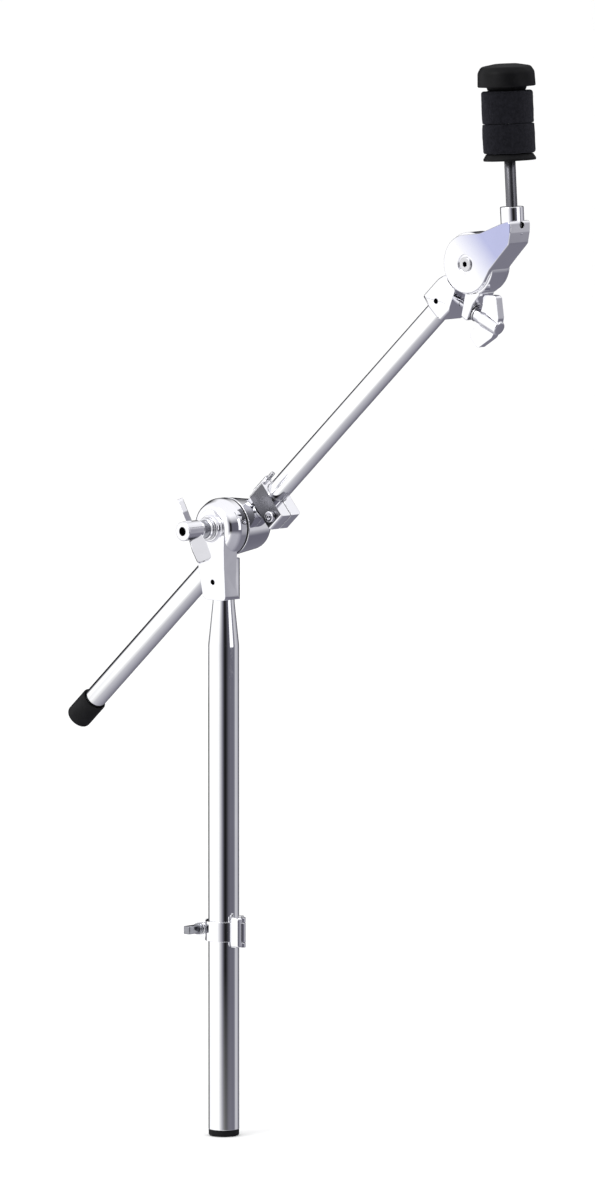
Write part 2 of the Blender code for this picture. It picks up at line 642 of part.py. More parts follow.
def boom_socket(head_frame):
    """A split ring round the tilter's drum, with the boom's socket and two pinch ears."""
    ring = turned("boom_socket", tube_profile(RING_OUT, RING_IN, -RING_HALF_Y, RING_HALF_Y), head_frame,
                  turn=ALONG_PLUS_Y, closed=True, sides=36)
    axis = BOOM_ANGLE
    along, across = polar(1, axis), polar(1, axis + math.pi / 2)

    def at(s, t):
        s, t = s * MM - HEAD_S, t * MM - HEAD_T
        return (s * along[0] + t * across[0], s * along[1] + t * across[1])

    side = [at(252, 10.6), at(251.2, 0), at(252.4, -11), at(254.4, -12.4), at(268.4, -12.9), at(279.6, -7.4),
            at(283, 0), at(278.4, 9.6), at(271.7, 11.2), at(254, 11.2)]
    neck = plate("socket_neck", side, 2 * HEAD_HALF_Y - 2 * GAP, head_frame, turn=ALONG_MINUS_Y, tool=True)
    soften(neck, 1.6 * MM, 2, 60)
    ear = [(-4.4 * MM, -21 * MM), (-8.2 * MM, -37.6 * MM), (-2.8 * MM, -40.8 * MM), (2.8 * MM, -28.8 * MM),
           (9.7 * MM, -21.4 * MM), (9.5 * MM, -18 * MM), (0, -18.6 * MM)]
    lug = plate("socket_ear", ear, 2 * RING_HALF_Y, head_frame, turn=ALONG_MINUS_Y, tool=True)
    add(ring, neck, lug)
    inside = rod("socket_inside", RING_IN, 40 * MM, head_frame, (0, 20 * MM, 0), ALONG_MINUS_Y, 36, tool=True)
    sweep = turned("cheek_room", tube_profile(DISC_R + 0.5 * MM, RING_IN - 1 * MM, 0, 8 * MM), head_frame,
                   (0, RING_HALF_Y, 0), ALONG_PLUS_Y, closed=True, sides=36, tool=True)
    sweep_front = turned("cheek_room_front", tube_profile(DISC_R + 0.5 * MM, RING_IN - 1 * MM, 0, 8 * MM),
                         head_frame, (0, -RING_HALF_Y, 0), ALONG_MINUS_Y, closed=True, sides=36, tool=True)
    slot = block("pinch_slot", (RING_IN - 2 * MM, -SLOT_HALF, -20 * MM), (60 * MM, SLOT_HALF, 20 * MM),
                 head_frame, tool=True)
    across_slot = Matrix.Rotation(-SLOT_ANGLE, 4, "Y") @ Matrix.Rotation(math.pi / 2, 4, "X")
    slot.rotation_euler = across_slot.to_euler()
    mouth = at(246, 0)
    bore = rod("tube_bore", BOOM_R + GAP, 20 * MM, head_frame, (mouth[0], 0, mouth[1]),
               (0, math.pi / 2 - BOOM_ANGLE, 0), 32, tool=True)
    cross = at(260.4, 0)
    pin_hole = rod("socket_pin_hole", ROLL_PIN_R + GAP, 60 * MM, head_frame, (cross[0], 30 * MM, cross[1]),
                   ALONG_MINUS_Y, sides=16, tool=True)
    cut(ring, inside, sweep, sweep_front, slot, bore, pin_hole)
    cut(ring, pinch_hole("pinch_bolt_hole", head_frame))
    return finish(ring, chrome())


def pinch_frame(name, head_frame, distance):
    """A frame on the wing bolt's axis, local Z along the bolt toward its wings."""
    x = PINCH_SLOT[0] + distance * math.cos(PINCH_DIR)
    z = PINCH_SLOT[1] + distance * math.sin(PINCH_DIR)
    return empty(name, (x, 0, z), (0, math.pi / 2 - PINCH_DIR, 0), head_frame)


def pinch_hole(name, head_frame):
    frame = pinch_frame(name + "_frame", head_frame, -6.5 * MM)
    return rod(name, PINCH_R + GAP, 40 * MM, frame, sides=16, tool=True)


def pinch_washer(head_frame):
    frame = pinch_frame("pinch_washer_frame", head_frame, 13.4 * MM)
    washer = turned("wing_bolt_washer", tube_profile(6.2 * MM, PINCH_R + GAP, 0, 1.2 * MM), frame,
                    closed=True, sides=20)
    return finish(washer, zinc_steel())


def wing_bolt(head_frame):
    frame = pinch_frame("wing_bolt_frame", head_frame, 13.4 * MM + 1.2 * MM + GAP)
    length = 22.4 * MM
    profile = [(0, length), (4.4 * MM, length), (5.4 * MM, length - 1 * MM), (6.2 * MM, 7 * MM),
               (5.6 * MM, 5.4 * MM), (5.6 * MM, 0), (0, 0)]
    hub = turned("wing_bolt", profile, frame, sides=26)
    shank = rod("wing_bolt_shank", PINCH_R, 21 * MM, frame, (0, 0, -20 * MM), sides=16, tool=True)
    add(hub, shank)
    wing = [(2, 4), (9, 3.2), (14, 1.4), (16.5, 1.8), (20.5, 10), (20, 12.5), (8, 20.4), (2, 21.5)]
    wings("wing_bolt", hub, frame, wing, 6 * MM, 0, 0, math.pi / 2)
    return finish(hub, chrome())


def head_outline():
    arm = [(22.6, -2.9), (31.6, 6.4), (40.4, 15.6), (42.9, 19.6), (43.1, 33.4), (34.4, 30.8), (13.7, 22.7)]
    return arc(0, 0, DISC_R, 100, 332, 22) + [(x * MM, z * MM) for x, z in arm]


def rod_frame(name, head_frame, distance):
    """A frame on the rod's axis, at a distance from pivot height, local Z up the rod."""
    x = ROD_U - distance * math.sin(ROD_LEAN)
    return empty(name, (x, 0, distance * math.cos(ROD_LEAN)), (0, -ROD_LEAN, 0), head_frame)


def tilter_head(head_frame):
    """Front cheek, arm and rod collar in one casting."""
    depth = 2 * HEAD_HALF_Y
    head = plate("tilter_head", head_outline(), depth, head_frame, turn=ALONG_MINUS_Y)
    ring_room = rod("ring_room", RING_OUT + 0.5 * MM, depth, head_frame,
                    (0, depth - RING_HALF_Y - GAP, 0), ALONG_MINUS_Y, 36, tool=True)
    back_room = rod("back_cheek_room", DISC_R + 1.0 * MM, 10 * MM, head_frame,
                    (0, HEAD_HALF_Y + 5 * MM, 0), ALONG_MINUS_Y, 36, tool=True)
    rear = block("arm_rear_room", (20 * MM, RING_HALF_Y + 0.2 * MM, -20 * MM), (60 * MM, 20 * MM, 50 * MM),
                 head_frame, tool=True)
    base = rod_frame("collar_frame", head_frame, 22 * MM)
    collar = rod("rod_collar", 8.35 * MM, 20.2 * MM, base, sides=28, tool=True)
    soften(collar, 0.5 * MM)
    cut(head, ring_room, back_room, rear)
    add(head, collar)
    recess = rod("screw_recess", 7 * MM, 3 * MM, head_frame, (0, -HEAD_HALF_Y + 1.3 * MM, 0),
                 ALONG_MINUS_Y, 28, tool=True)
    screw_hole = rod("screw_hole", 3 * MM + GAP, 60 * MM, head_frame, (0, 30 * MM, 0),
                     ALONG_MINUS_Y, 18, tool=True)
    hole_frame = rod_frame("rod_hole_frame", head_frame, 15.6 * MM)
    rod_hole = rod("rod_hole", ROD_R + GAP, 60 * MM, hole_frame, sides=24, tool=True)
    set_frame = rod_frame("set_hole_frame", head_frame, 29 * MM)
    set_hole = rod("set_screw_hole", 2.1 * MM + GAP, 20 * MM, set_frame, (ROD_R - 2 * MM, 0, 0),
                   ALONG_PLUS_X, sides=14, tool=True)
    cut(head, recess, screw_hole, rod_hole, set_hole)
    return finish(head, chrome())


def tilter_back_plate(head_frame):
    thick = HEAD_HALF_Y - RING_HALF_Y - GAP
    disc = turned("tilter_back_plate",
                  [(5 * MM, thick), (DISC_R - 1 * MM, thick), (DISC_R, thick - 1 * MM), (DISC_R, 0),
                   (3.4 * MM, 0), (3.4 * MM, thick - 1.8 * MM), (5 * MM, thick - 1.8 * MM)],
                  head_frame, (0, RING_HALF_Y + GAP, 0), ALONG_PLUS_Y, closed=True, sides=32)
    return finish(disc, chrome())


def tilter_drum(head_frame):
    """The inner drum that the split ring grips."""
    outer = RING_IN - GAP
    drum = turned("tilter_drum", tube_profile(outer, 3.4 * MM, -RING_HALF_Y + 0.1 * MM, RING_HALF_Y),
                  head_frame, turn=ALONG_PLUS_Y, closed=True, sides=32)
    return finish(drum, zinc_steel())


def pivot_screw(head_frame):
    face = -HEAD_HALF_Y + 1.3 * MM - GAP
    screw = turned("pivot_screw",
                   [(0, 1.2 * MM), (4.6 * MM, 1.2 * MM), (5.2 * MM, 0.6 * MM), (5.2 * MM, 0), (3 * MM, 0),
                    (3 * MM, -24.4 * MM), (0, -24.4 * MM)],
                   head_frame, (0, face, 0), ALONG_MINUS_Y, sides=24)
    drive = rod("pivot_hex", 2.2 * MM, 6 * MM, head_frame, (0, face + 1.6 * MM, 0),
                ALONG_MINUS_Y, 6, tool=True)
    return finish(cut(screw, drive), zinc_steel())


def pivot_nut(head_frame):
    nut = rod("pivot_nut", 4.6 * MM, 1.5 * MM, head_frame, (0, HEAD_HALF_Y + 0.1 * MM, 0), ALONG_MINUS_Y, 6)
    hole = rod("nut_hole", 3 * MM + GAP, 6 * MM, head_frame, (0, HEAD_HALF_Y + 3 * MM, 0),
               ALONG_MINUS_Y, 18, tool=True)
    return finish(cut(nut, hole), zinc_steel())


# ---------------------------------------------------------------- cymbal stack

def cymbal_rod(head_frame):
    low = 16 * MM
    frame = rod_frame("cymbal_rod_frame", head_frame, low)
    high = CUP_W + CUP_H + LOWER_FELT_H + UPPER_FELT_H + 10.5 * MM - low
    profile = [(0, high), (ROD_R - 0.6 * MM, high), (ROD_R, high - 0.6 * MM), (ROD_R, 0), (0, 0)]
    piece = turned("cymbal_rod", profile, frame, sides=24)
    return finish(piece, dark_chrome())


def rod_set_screw(head_frame):
    frame = rod_frame("rod_set_frame", head_frame, 29 * MM)
    screw = rod("rod_set_screw", 2.1 * MM, 3 * MM, frame, (ROD_R + GAP, 0, 0), ALONG_PLUS_X, sides=14)
    drive = rod("rod_set_hex", 1.1 * MM, 3 * MM, frame, (ROD_R + GAP + 1.4 * MM, 0, 0),
                ALONG_PLUS_X, 6, tool=True)
    return finish(cut(screw, drive), zinc_steel())


def cup_washer(head_frame):
    frame = rod_frame("cup_frame", head_frame, CUP_W)
    inner = ROD_R + GAP
    profile = [(16.4 * MM, CUP_H), (FELT_R, 1.6 * MM), (FELT_R, 0.6 * MM), (FELT_R - 0.6 * MM, 0),
               (inner, 0), (inner, CUP_H)]
    return finish(turned("cup_washer", profile, frame, closed=True, sides=28), plastic())


def cymbal_sleeve(head_frame):
    frame = rod_frame("sleeve_frame", head_frame, CUP_W + CUP_H + GAP)
    height = LOWER_FELT_H + UPPER_FELT_H - 1.2 * MM
    profile = tube_profile(6.2 * MM, ROD_R + GAP, 0, height)
    sleeve = turned("cymbal_sleeve", profile, frame, closed=True, sides=24)
    return finish(sleeve, nylon())


def felt_washer(name, head_frame, low, height, radius):
    frame = rod_frame(name + "_frame", head_frame, low)
    inner, ease = 6.2 * MM + GAP, 1.2 * MM
    profile = [(inner, height), (radius - ease, height), (radius - 0.5 * MM, height - 0.5 * ease),
               (radius, height - 1.6 * ease), (radius, 1.6 * ease), (radius - 0.5 * MM, 0.5 * ease),
               (radius - ease, 0), (inner, 0)]
    return finish(turned(name, profile, frame, closed=True, sides=28), felt())


def cymbal_knob(head_frame):
    """Moulded screw cap with a short neck under it."""
    low = CUP_W + CUP_H + LOWER_FELT_H + UPPER_FELT_H + 2 * GAP
    frame = rod_frame("knob_frame", head_frame, low)
    neck, top = 2.6 * MM, 18.8 * MM
    bore = 7.5 * MM
    profile = [(0, top), (8 * MM, top - 0.3 * MM), (13.6 * MM, top - 1.1 * MM), (17.4 * MM, top - 2.3 * MM),
               (19.6 * MM, top - 4.2 * MM), (KNOB_R - 0.3 * MM, top - 6 * MM), (KNOB_R, neck + 3 * MM),
               (KNOB_R + 0.3 * MM, neck + 0.8 * MM), (KNOB_R - 0.6 * MM, neck), (14.4 * MM, neck),
               (13.2 * MM, 0), (bore, 0), (bore, 12.4 * MM), (0, 12.4 * MM)]
    return finish(turned("cymbal_knob", profile, frame, sides=30), plastic())


def knob_insert(head_frame):
    """Threaded metal insert inside the knob."""
    low = CUP_W + CUP_H + LOWER_FELT_H + UPPER_FELT_H + 2 * GAP + 0.4 * MM
    frame = rod_frame("insert_frame", head_frame, low)
    insert = rod("knob_insert", 7.5 * MM - GAP, 11.5 * MM, frame, sides=6)
    hole = rod("insert_hole", ROD_R + GAP, 20 * MM, frame, (0, 0, -2 * MM), sides=20, tool=True)
    return finish(cut(insert, hole), brass())


# ---------------------------------------------------------------- assembly

def build():
    clear_scene()
    lower_tube()
    lower_tube_plug()
    post_lock()
    tilter_base()
    roll_pin("base_roll_pin", 17 * MM, None, (0, 8.5 * MM, 401 * MM), ALONG_MINUS_Y)
    friction_disc()
    release_spring()

    boom_frame = empty("boom_swing", (0, BOOM_Y, PIVOT_Z), (0, -BOOM_ANGLE, 0))
    boom_clamp(boom_frame)
    boom_bush("boom_bush_lower", boom_frame, -1)
    boom_bush("boom_bush_upper", boom_frame, 1)
    eye_bolt(boom_frame)
    nut_washer(boom_frame)
    wing_nut(boom_frame)
    boom_tube(boom_frame)
    boom_end_cap(boom_frame)
    boom_lock(boom_frame)

    head_frame = empty("head_swing", (HEAD_S, 0, HEAD_T), (0, BOOM_ANGLE, 0), boom_frame)
    boom_socket(head_frame)
    roll_pin("socket_roll_pin", 22 * MM, boom_frame, (260.4 * MM, 11 * MM, 0), ALONG_MINUS_Y)
    pinch_washer(head_frame)
    wing_bolt(head_frame)
    tilter_head(head_frame)
    tilter_back_plate(head_frame)
    tilter_drum(head_frame)
    pivot_screw(head_frame)
    pivot_nut(head_frame)
    cymbal_rod(head_frame)
    rod_set_screw(head_frame)
    cup_washer(head_frame)
    cymbal_sleeve(head_frame)
    felt_low = CUP_W + CUP_H + GAP
    felt_washer("lower_felt", head_frame, felt_low, LOWER_FELT_H - GAP, FELT_R)
    felt_washer("upper_felt", head_frame, felt_low + LOWER_FELT_H, UPPER_FELT_H - GAP, FELT_R - 0.2 * MM)
    cymbal_knob(head_frame)
    knob_insert(head_frame)


build()
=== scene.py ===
"""Looks for the cymbal boom stand: modelled pieces, procedural materials, studio light, camera.

Everything is in metres in the frame's coordinates. Places come from the frame's joints and boxes.
"""

import json
import math

import bmesh
import bpy
from mathutils import Matrix, Vector, noise

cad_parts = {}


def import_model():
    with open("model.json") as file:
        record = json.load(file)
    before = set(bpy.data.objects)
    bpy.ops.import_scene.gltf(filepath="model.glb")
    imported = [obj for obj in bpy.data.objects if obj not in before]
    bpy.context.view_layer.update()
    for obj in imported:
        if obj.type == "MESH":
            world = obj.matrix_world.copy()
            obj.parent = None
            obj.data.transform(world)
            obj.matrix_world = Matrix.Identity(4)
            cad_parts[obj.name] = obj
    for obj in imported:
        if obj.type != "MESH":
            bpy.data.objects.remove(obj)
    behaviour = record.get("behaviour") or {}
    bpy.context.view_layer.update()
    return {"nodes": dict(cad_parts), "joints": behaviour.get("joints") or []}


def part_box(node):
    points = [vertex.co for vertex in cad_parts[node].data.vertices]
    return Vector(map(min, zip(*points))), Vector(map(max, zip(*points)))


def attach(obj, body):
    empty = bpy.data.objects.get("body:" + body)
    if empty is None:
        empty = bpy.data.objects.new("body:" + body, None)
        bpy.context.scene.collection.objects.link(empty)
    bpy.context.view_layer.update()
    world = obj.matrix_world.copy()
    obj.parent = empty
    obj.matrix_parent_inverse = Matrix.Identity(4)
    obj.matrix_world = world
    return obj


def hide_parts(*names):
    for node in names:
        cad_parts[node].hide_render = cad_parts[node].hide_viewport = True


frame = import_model()

MM = 0.001
GAP = 0.3 * MM                 # running clearance between pieces
WELD = 0.000002                # vertices closer than this become one
SEAM_WELD = 0.000005           # the same, where a turned piece's seam closes
WALL_REACH = 0.02 * MM         # how far off a hole's radius a face still counts as its wall
JOINTS = {joint["name"]: joint for joint in frame["joints"]}


# ---------------------------------------------------------------- places, from the frame

def joint_point(name):
    return Vector(JOINTS[name]["pos_m"])


def joint_axis(name):
    return Vector(JOINTS[name]["axis"]).normalized()


def axes_at(origin, x, z):
    """A frame with local X and Z along the given directions."""
    x, z = x.normalized(), z.normalized()
    y = z.cross(x)
    turn = Matrix((x, y, z)).transposed().to_4x4()
    return Matrix.Translation(origin) @ turn


X, Y, Z = Vector((1, 0, 0)), Vector((0, 1, 0)), Vector((0, 0, 1))
BOOM_DIR = joint_axis("boom_slide")
BOOM_UP = Y.cross(BOOM_DIR) * -1
PIVOT = joint_point("boom_tilt")
HEAD = joint_point("head_tilt")
BOOM_Y = PIVOT.y
ROD_DIR = joint_axis("knob_turn")
ROD_FOOT = joint_point("knob_turn")
PINCH_DIR = joint_axis("wing_bolt_turn")
PINCH_POINT = joint_point("wing_bolt_turn")
POST_LOCK = Vector((0, 0, joint_point("post_lock_open").z))
LOCK_S = (joint_point("boom_lock_open") - PIVOT).dot(BOOM_DIR)

WORLD = Matrix.Identity(4)
BOOM = axes_at(PIVOT, BOOM_DIR, BOOM_UP)          # X along the boom, Z above it
TILTER = Matrix.Translation(HEAD)                 # cymbal tilter, X right, Z up
TO_FRONT = Matrix.Rotation(math.pi / 2, 4, "X")   # local Z turned to -Y, local Y to +Z
TO_BACK = Matrix.Rotation(-math.pi / 2, 4, "X")
TO_X = Matrix.Rotation(math.pi / 2, 4, "Y")


def shift(x, y, z):
    return Matrix.Translation((x, y, z))


def up_the_rod(distance):
    return axes_at(ROD_FOOT + ROD_DIR * distance, Y.cross(ROD_DIR), ROD_DIR)


def up_the_bolt(distance):
    return axes_at(PINCH_POINT + PINCH_DIR * distance, Y.cross(PINCH_DIR), PINCH_DIR)


# ---------------------------------------------------------------- mesh tools

def link(name, mesh):
    made = bpy.data.objects.new(name, mesh)
    bpy.context.scene.collection.objects.link(made)
    return made


def applied(piece):
    """Turn a piece's modifiers, or a curve, into its own plain mesh."""
    bpy.context.view_layer.update()
    graph = bpy.context.evaluated_depsgraph_get()
    mesh = bpy.data.meshes.new_from_object(piece.evaluated_get(graph))
    name, place = piece.name, piece.matrix_world.copy()
    bpy.data.objects.remove(piece, do_unlink=True)
    mesh.transform(place)
    mesh.name = name
    return link(name, mesh)


def weld(piece):
    shape = bmesh.new()
    shape.from_mesh(piece.data)
    bmesh.ops.remove_doubles(shape, verts=shape.verts, dist=WELD)
    bmesh.ops.dissolve_degenerate(shape, edges=shape.edges, dist=WELD)
    bmesh.ops.recalc_face_normals(shape, faces=shape.faces)
    shape.to_mesh(piece.data)
    shape.free()
    return piece


def fillet(corners, default=0.0, steps=4, closed=False):
    """Round the corners of a polyline. A corner is (a, b) or (a, b, radius)."""
    count = len(corners)
    points = []
    for i, corner in enumerate(corners):
        here = Vector(corner[:2])
        radius = corner[2] if len(corner) > 2 else default
        if radius <= 0 or (not closed and i in (0, count - 1)):
            points.append(tuple(here))
            continue
        before, after = Vector(corners[i - 1][:2]), Vector(corners[(i + 1) % count][:2])
        to_before, to_after = (before - here), (after - here)
        angle = to_before.angle(to_after)
        longest = 0.48 * min(to_before.length, to_after.length)
        reach = min(radius / math.tan(angle / 2), longest)
        start = here + to_before.normalized() * reach
        end = here + to_after.normalized() * reach
        for k in range(steps + 1):
            f = k / steps
            points.append(tuple((1 - f) ** 2 * start + 2 * f * (1 - f) * here + f * f * end))
    return points


def arc(x, y, radius, start, end, steps):
    turn = [math.radians(start + (end - start) * i / steps) for i in range(steps + 1)]
    return [(x + radius * math.cos(a), y + radius * math.sin(a)) for a in turn]


def turned(name, profile, place=WORLD, sides=96, closed=False):
    """A turned piece round local Z; the profile runs down its outer side."""
    mesh = bpy.data.meshes.new(name)
    count = len(profile)
    lines = [(i, i + 1) for i in range(count - 1)]
    if closed:
        lines.append((count - 1, 0))
    mesh.from_pydata([(r, 0, z) for r, z in profile], lines, [])
    piece = link(name, mesh)
    spin = piece.modifiers.new("turn", "SCREW")
    spin.steps = sides
    spin.use_merge_vertices = True
    spin.merge_threshold = SEAM_WELD
    piece.matrix_world = place
    return weld(applied(piece))


def sleeve(name, inner, outer, length, place, ease, steps=3, sides=96):
    """A tube or washer up from its place, with rounded rims."""
    ring = [(outer, length), (outer, 0), (inner, 0), (inner, length)]
    return turned(name, fillet(ring, ease, steps, True), place, sides, True)


def plate(name, outline, thickness, place=WORLD, ease=0.0, segments=3):
    """A flat plate in local X-Y, centred on it, with rounded rims."""
    ring = list(zip(outline, outline[1:] + outline[:1]))
    if sum(a[0] * b[1] - b[0] * a[1] for a, b in ring) < 0:
        outline = outline[::-1]
    curve = bpy.data.curves.new(name, "CURVE")
    curve.dimensions = "2D"
    curve.fill_mode = "BOTH"
    curve.extrude = thickness / 2 - ease
    curve.bevel_depth = ease
    curve.bevel_resolution = segments
    curve.offset = -ease
    line = curve.splines.new("POLY")
    line.points.add(len(outline) - 1)
    for point, (a, b) in zip(line.points, outline):
        point.co = (a, b, 0, 1)
    line.use_cyclic_u = True
    piece = link(name, curve)
    piece.matrix_world = place
    return weld(applied(piece))


def placed(name, shape, place):
    """An object made from a bmesh, moved to its place."""
    mesh = bpy.data.meshes.new(name)
    shape.to_mesh(mesh)
    shape.free()
    mesh.transform(place)
    return link(name, mesh)


def rod(name, radius, length, place=WORLD, sides=64, ease=0.0):
    """A cylinder up from its place, with rounded rims where it has an ease."""
    if ease:
        profile = fillet([(0, length), (radius, length, ease), (radius, 0, ease), (0, 0)])
        return turned(name, profile, place, sides)
    shape = bmesh.new()
    bmesh.ops.create_cone(shape, cap_ends=True, segments=sides, radius1=radius, radius2=radius,
                          depth=length, matrix=shift(0, 0, length / 2))
    return placed(name, shape, place)


def block(name, low, high, place=WORLD, ease=0.0):
    """A box between two corners, with rounded edges where it has an ease."""
    low, high = Vector(low), Vector(high)
    shape = bmesh.new()
    size = Matrix.Diagonal((*(high - low), 1))
    bmesh.ops.create_cube(shape, size=1, matrix=shift(*((low + high) / 2)) @ size)
    if ease:
        bmesh.ops.bevel(shape, geom=shape.edges[:], offset=ease, segments=3, profile=0.5,
                        affect="EDGES")
    return placed(name, shape, place)


def boolean(piece, tools, operation):
    for i, tool in enumerate(tools):
        step = piece.modifiers.new(f"{operation}_{i}", "BOOLEAN")
        step.operation = operation
        step.solver = "EXACT"
        step.object = tool
        piece = applied(piece)
        bpy.data.objects.remove(tool, do_unlink=True)
    return piece


def cut(piece, *tools):
    return boolean(piece, tools, "DIFFERENCE")


def add(piece, *tools):
    return boolean(piece, tools, "UNION")


def keep(piece, *tools):
    return boolean(piece, tools, "INTERSECT")


def bevel(piece, width, segments=3, angle=32):
    edge = piece.modifiers.new("edges", "BEVEL")
    edge.width = width
    edge.segments = segments
    edge.limit_method = "ANGLE"
    edge.angle_limit = math.radians(angle)
    return applied(piece)


def clear_skins(piece):
    """Leave one empty material slot, for finish to fill."""
    piece.data.materials.clear()
    piece.data.materials.append(None)


def second_skin(piece, skin, place, radius, low=-1.0, high=1.0):
    """Another material on the faces wholly near a place's Z axis, between two heights."""
    inverse = place.inverted()
    piece.data.materials.append(skin)
    near = [math.hypot(p.x, p.y) < radius and low < p.z < high
            for p in (inverse @ vertex.co for vertex in piece.data.vertices)]
    for face in piece.data.polygons:
        if all(near[i] for i in face.vertices):
            face.material_index = len(piece.data.materials) - 1
    return piece


def finish(piece, skin, body, slot, *nodes, sharp=32):
    """Smooth a piece, give it its material and seat it on its body.

    Castings get weighted normals, so that their flat faces mirror as flat ones.
    """
    if not piece.data.materials:
        piece.data.materials.append(skin)
    piece.data.materials[0] = skin
    piece.data.shade_smooth()
    piece.data.set_sharp_from_angle(angle=math.radians(sharp))
    if slot == "chrome_cast":
        piece.modifiers.new("flat_faces", "WEIGHTED_NORMAL").keep_sharp = True
    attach(piece, body)
    if nodes:
        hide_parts(*nodes)
    return piece


# ---------------------------------------------------------------- materials

def plug(tree, socket, value):
    """Link a socket to another one, or give it a value."""
    if isinstance(value, bpy.types.NodeSocket):
        tree.links.new(value, socket)
    else:
        socket.default_value = value


def mix_colours(tree, factor, a, b, blend="MIX"):
    """The result of a Mix node, which has a set of sockets for each data type."""
    node = tree.nodes.new("ShaderNodeMix")
    node.data_type = "RGBA"
    node.blend_type = blend
    for name, value in (("Factor", factor), ("A", a), ("B", b)):
        plug(tree, next(s for s in node.inputs if s.name == name and s.enabled), value)
    return next(s for s in node.outputs if s.enabled)


class Nodes:
    """A short way to write a material's node tree."""

    def __init__(self, name):
        self.material = bpy.data.materials.new(name)
        self.material.use_nodes = True
        self.tree = self.material.node_tree
        self.shader = self.tree.nodes["Principled BSDF"]
        self.where = self.add("ShaderNodeTexCoord").outputs["Object"]

    def add(self, kind, **inputs):
        node = self.tree.nodes.new(kind)
        for key, value in inputs.items():
            plug(self.tree, node.inputs[key.replace("_", " ")], value)
        return node

    def set(self, **inputs):
        for key, value in inputs.items():
            plug(self.tree, self.shader.inputs[key.replace("_", " ")], value)

    def noise(self, scale, detail=3.0, rough=0.5, stretch=None):
        where = self.where
        if stretch:
            where = self.add("ShaderNodeMapping", Vector=where, Scale=stretch).outputs["Vector"]
        node = self.add("ShaderNodeTexNoise", Vector=where, Scale=scale, Detail=detail,
                        Roughness=rough)
        return node.outputs["Fac"]

    def blend(self, amount, low, high, start=0.35, end=0.65):
        """A colour or value between low and high as amount goes from start to end."""
        ramp = self.add("ShaderNodeValToRGB", Fac=amount)
        for stop, place, value in zip(ramp.color_ramp.elements, (start, end), (low, high)):
            stop.position = place
            stop.color = (*value, 1) if isinstance(value, tuple) else (value, value, value, 1)
        return ramp.outputs["Color"]

    def bump(self, height, strength, distance, soft_edge=None):
        node = self.add("ShaderNodeBump", Height=height, Strength=strength, Distance=distance)
        if soft_edge:
            edge = self.add("ShaderNodeBevel", Radius=soft_edge)
            edge.samples = 6
            plug(self.tree, node.inputs["Normal"], edge.outputs["Normal"])
        self.set(Normal=node.outputs["Normal"])


def chrome(name, tint, haze=0.035, wave=0.0, soft_edge=None):
    """Chrome plate with faint haze patches, and a slow ripple or, without a wave, hairlines."""
    skin = Nodes(name)
    patches = skin.noise(38.0, 4.0, 0.6)
    shade = tuple(c * 0.955 for c in tint)
    skin.set(Base_Color=skin.blend(patches, shade, tint, 0.3, 0.7), Metallic=1.0,
             Roughness=skin.blend(skin.noise(140.0, 5.0, 0.65), haze, haze + 0.05, 0.42, 0.78))
    if wave:
        ripple = skin.noise(95.0, 1.5, 0.4)
        skin.bump(ripple, 0.35, wave, soft_edge)
    else:
        hairlines = skin.noise(900.0, 2.0, 0.5, (1.0, 1.0, 0.04))
        skin.bump(hairlines, 0.02, 0.00001, soft_edge)
    return skin.material


def painted_reflection_drift(skin, direction, low, high, tint):
    """Chrome with a painted reflection: its colour drifts to a tint along a direction, standing in
    for the unevenly lit wall a face would mirror.
    """
    copy = skin.copy()
    tree = copy.node_tree
    shader = next(n for n in tree.nodes if n.type == "BSDF_PRINCIPLED")
    colour = shader.inputs["Base Color"].links[0].from_socket
    place = tree.nodes.new("ShaderNodeTexCoord").outputs["Object"]
    along = tree.nodes.new("ShaderNodeVectorMath")
    along.operation = "DOT_PRODUCT"
    tree.links.new(place, along.inputs[0])
    along.inputs[1].default_value = direction
    ramp = tree.nodes.new("ShaderNodeMapRange")
    ramp.inputs["From Min"].default_value = low
    ramp.inputs["From Max"].default_value = high
    tree.links.new(along.outputs["Value"], ramp.inputs["Value"])
    painted_tint = mix_colours(tree, ramp.outputs["Result"], colour, (*tint, 1), "MULTIPLY")
    tree.links.new(painted_tint, shader.inputs["Base Color"])
    return copy


def steel(name, colour, rough):
    skin = Nodes(name)
    grain = skin.noise(1500.0, 3.0, 0.6)
    darker = tuple(c * 0.86 for c in colour)
    skin.set(Base_Color=skin.blend(skin.noise(160.0), darker, colour), Metallic=1.0,
             Roughness=skin.blend(grain, rough, rough + 0.14))
    skin.bump(grain, 0.08, 0.00002)
    return skin.material


def moulded(name, colour, rough, grain_scale, grain_depth, gloss=0.4):
    """Moulded plastic or rubber with a fine spark-eroded grain and dusty high spots."""
    skin = Nodes(name)
    grain = skin.noise(grain_scale, 4.0, 0.6)
    lighter = tuple(c * 1.8 + 0.002 for c in colour)
    skin.set(Base_Color=skin.blend(skin.noise(120.0, 5.0, 0.65), colour, lighter, 0.45, 0.8),
             Roughness=skin.blend(grain, rough, rough + 0.16), Specular_IOR_Level=gloss)
    skin.bump(grain, 0.5, grain_depth)
    return skin.material


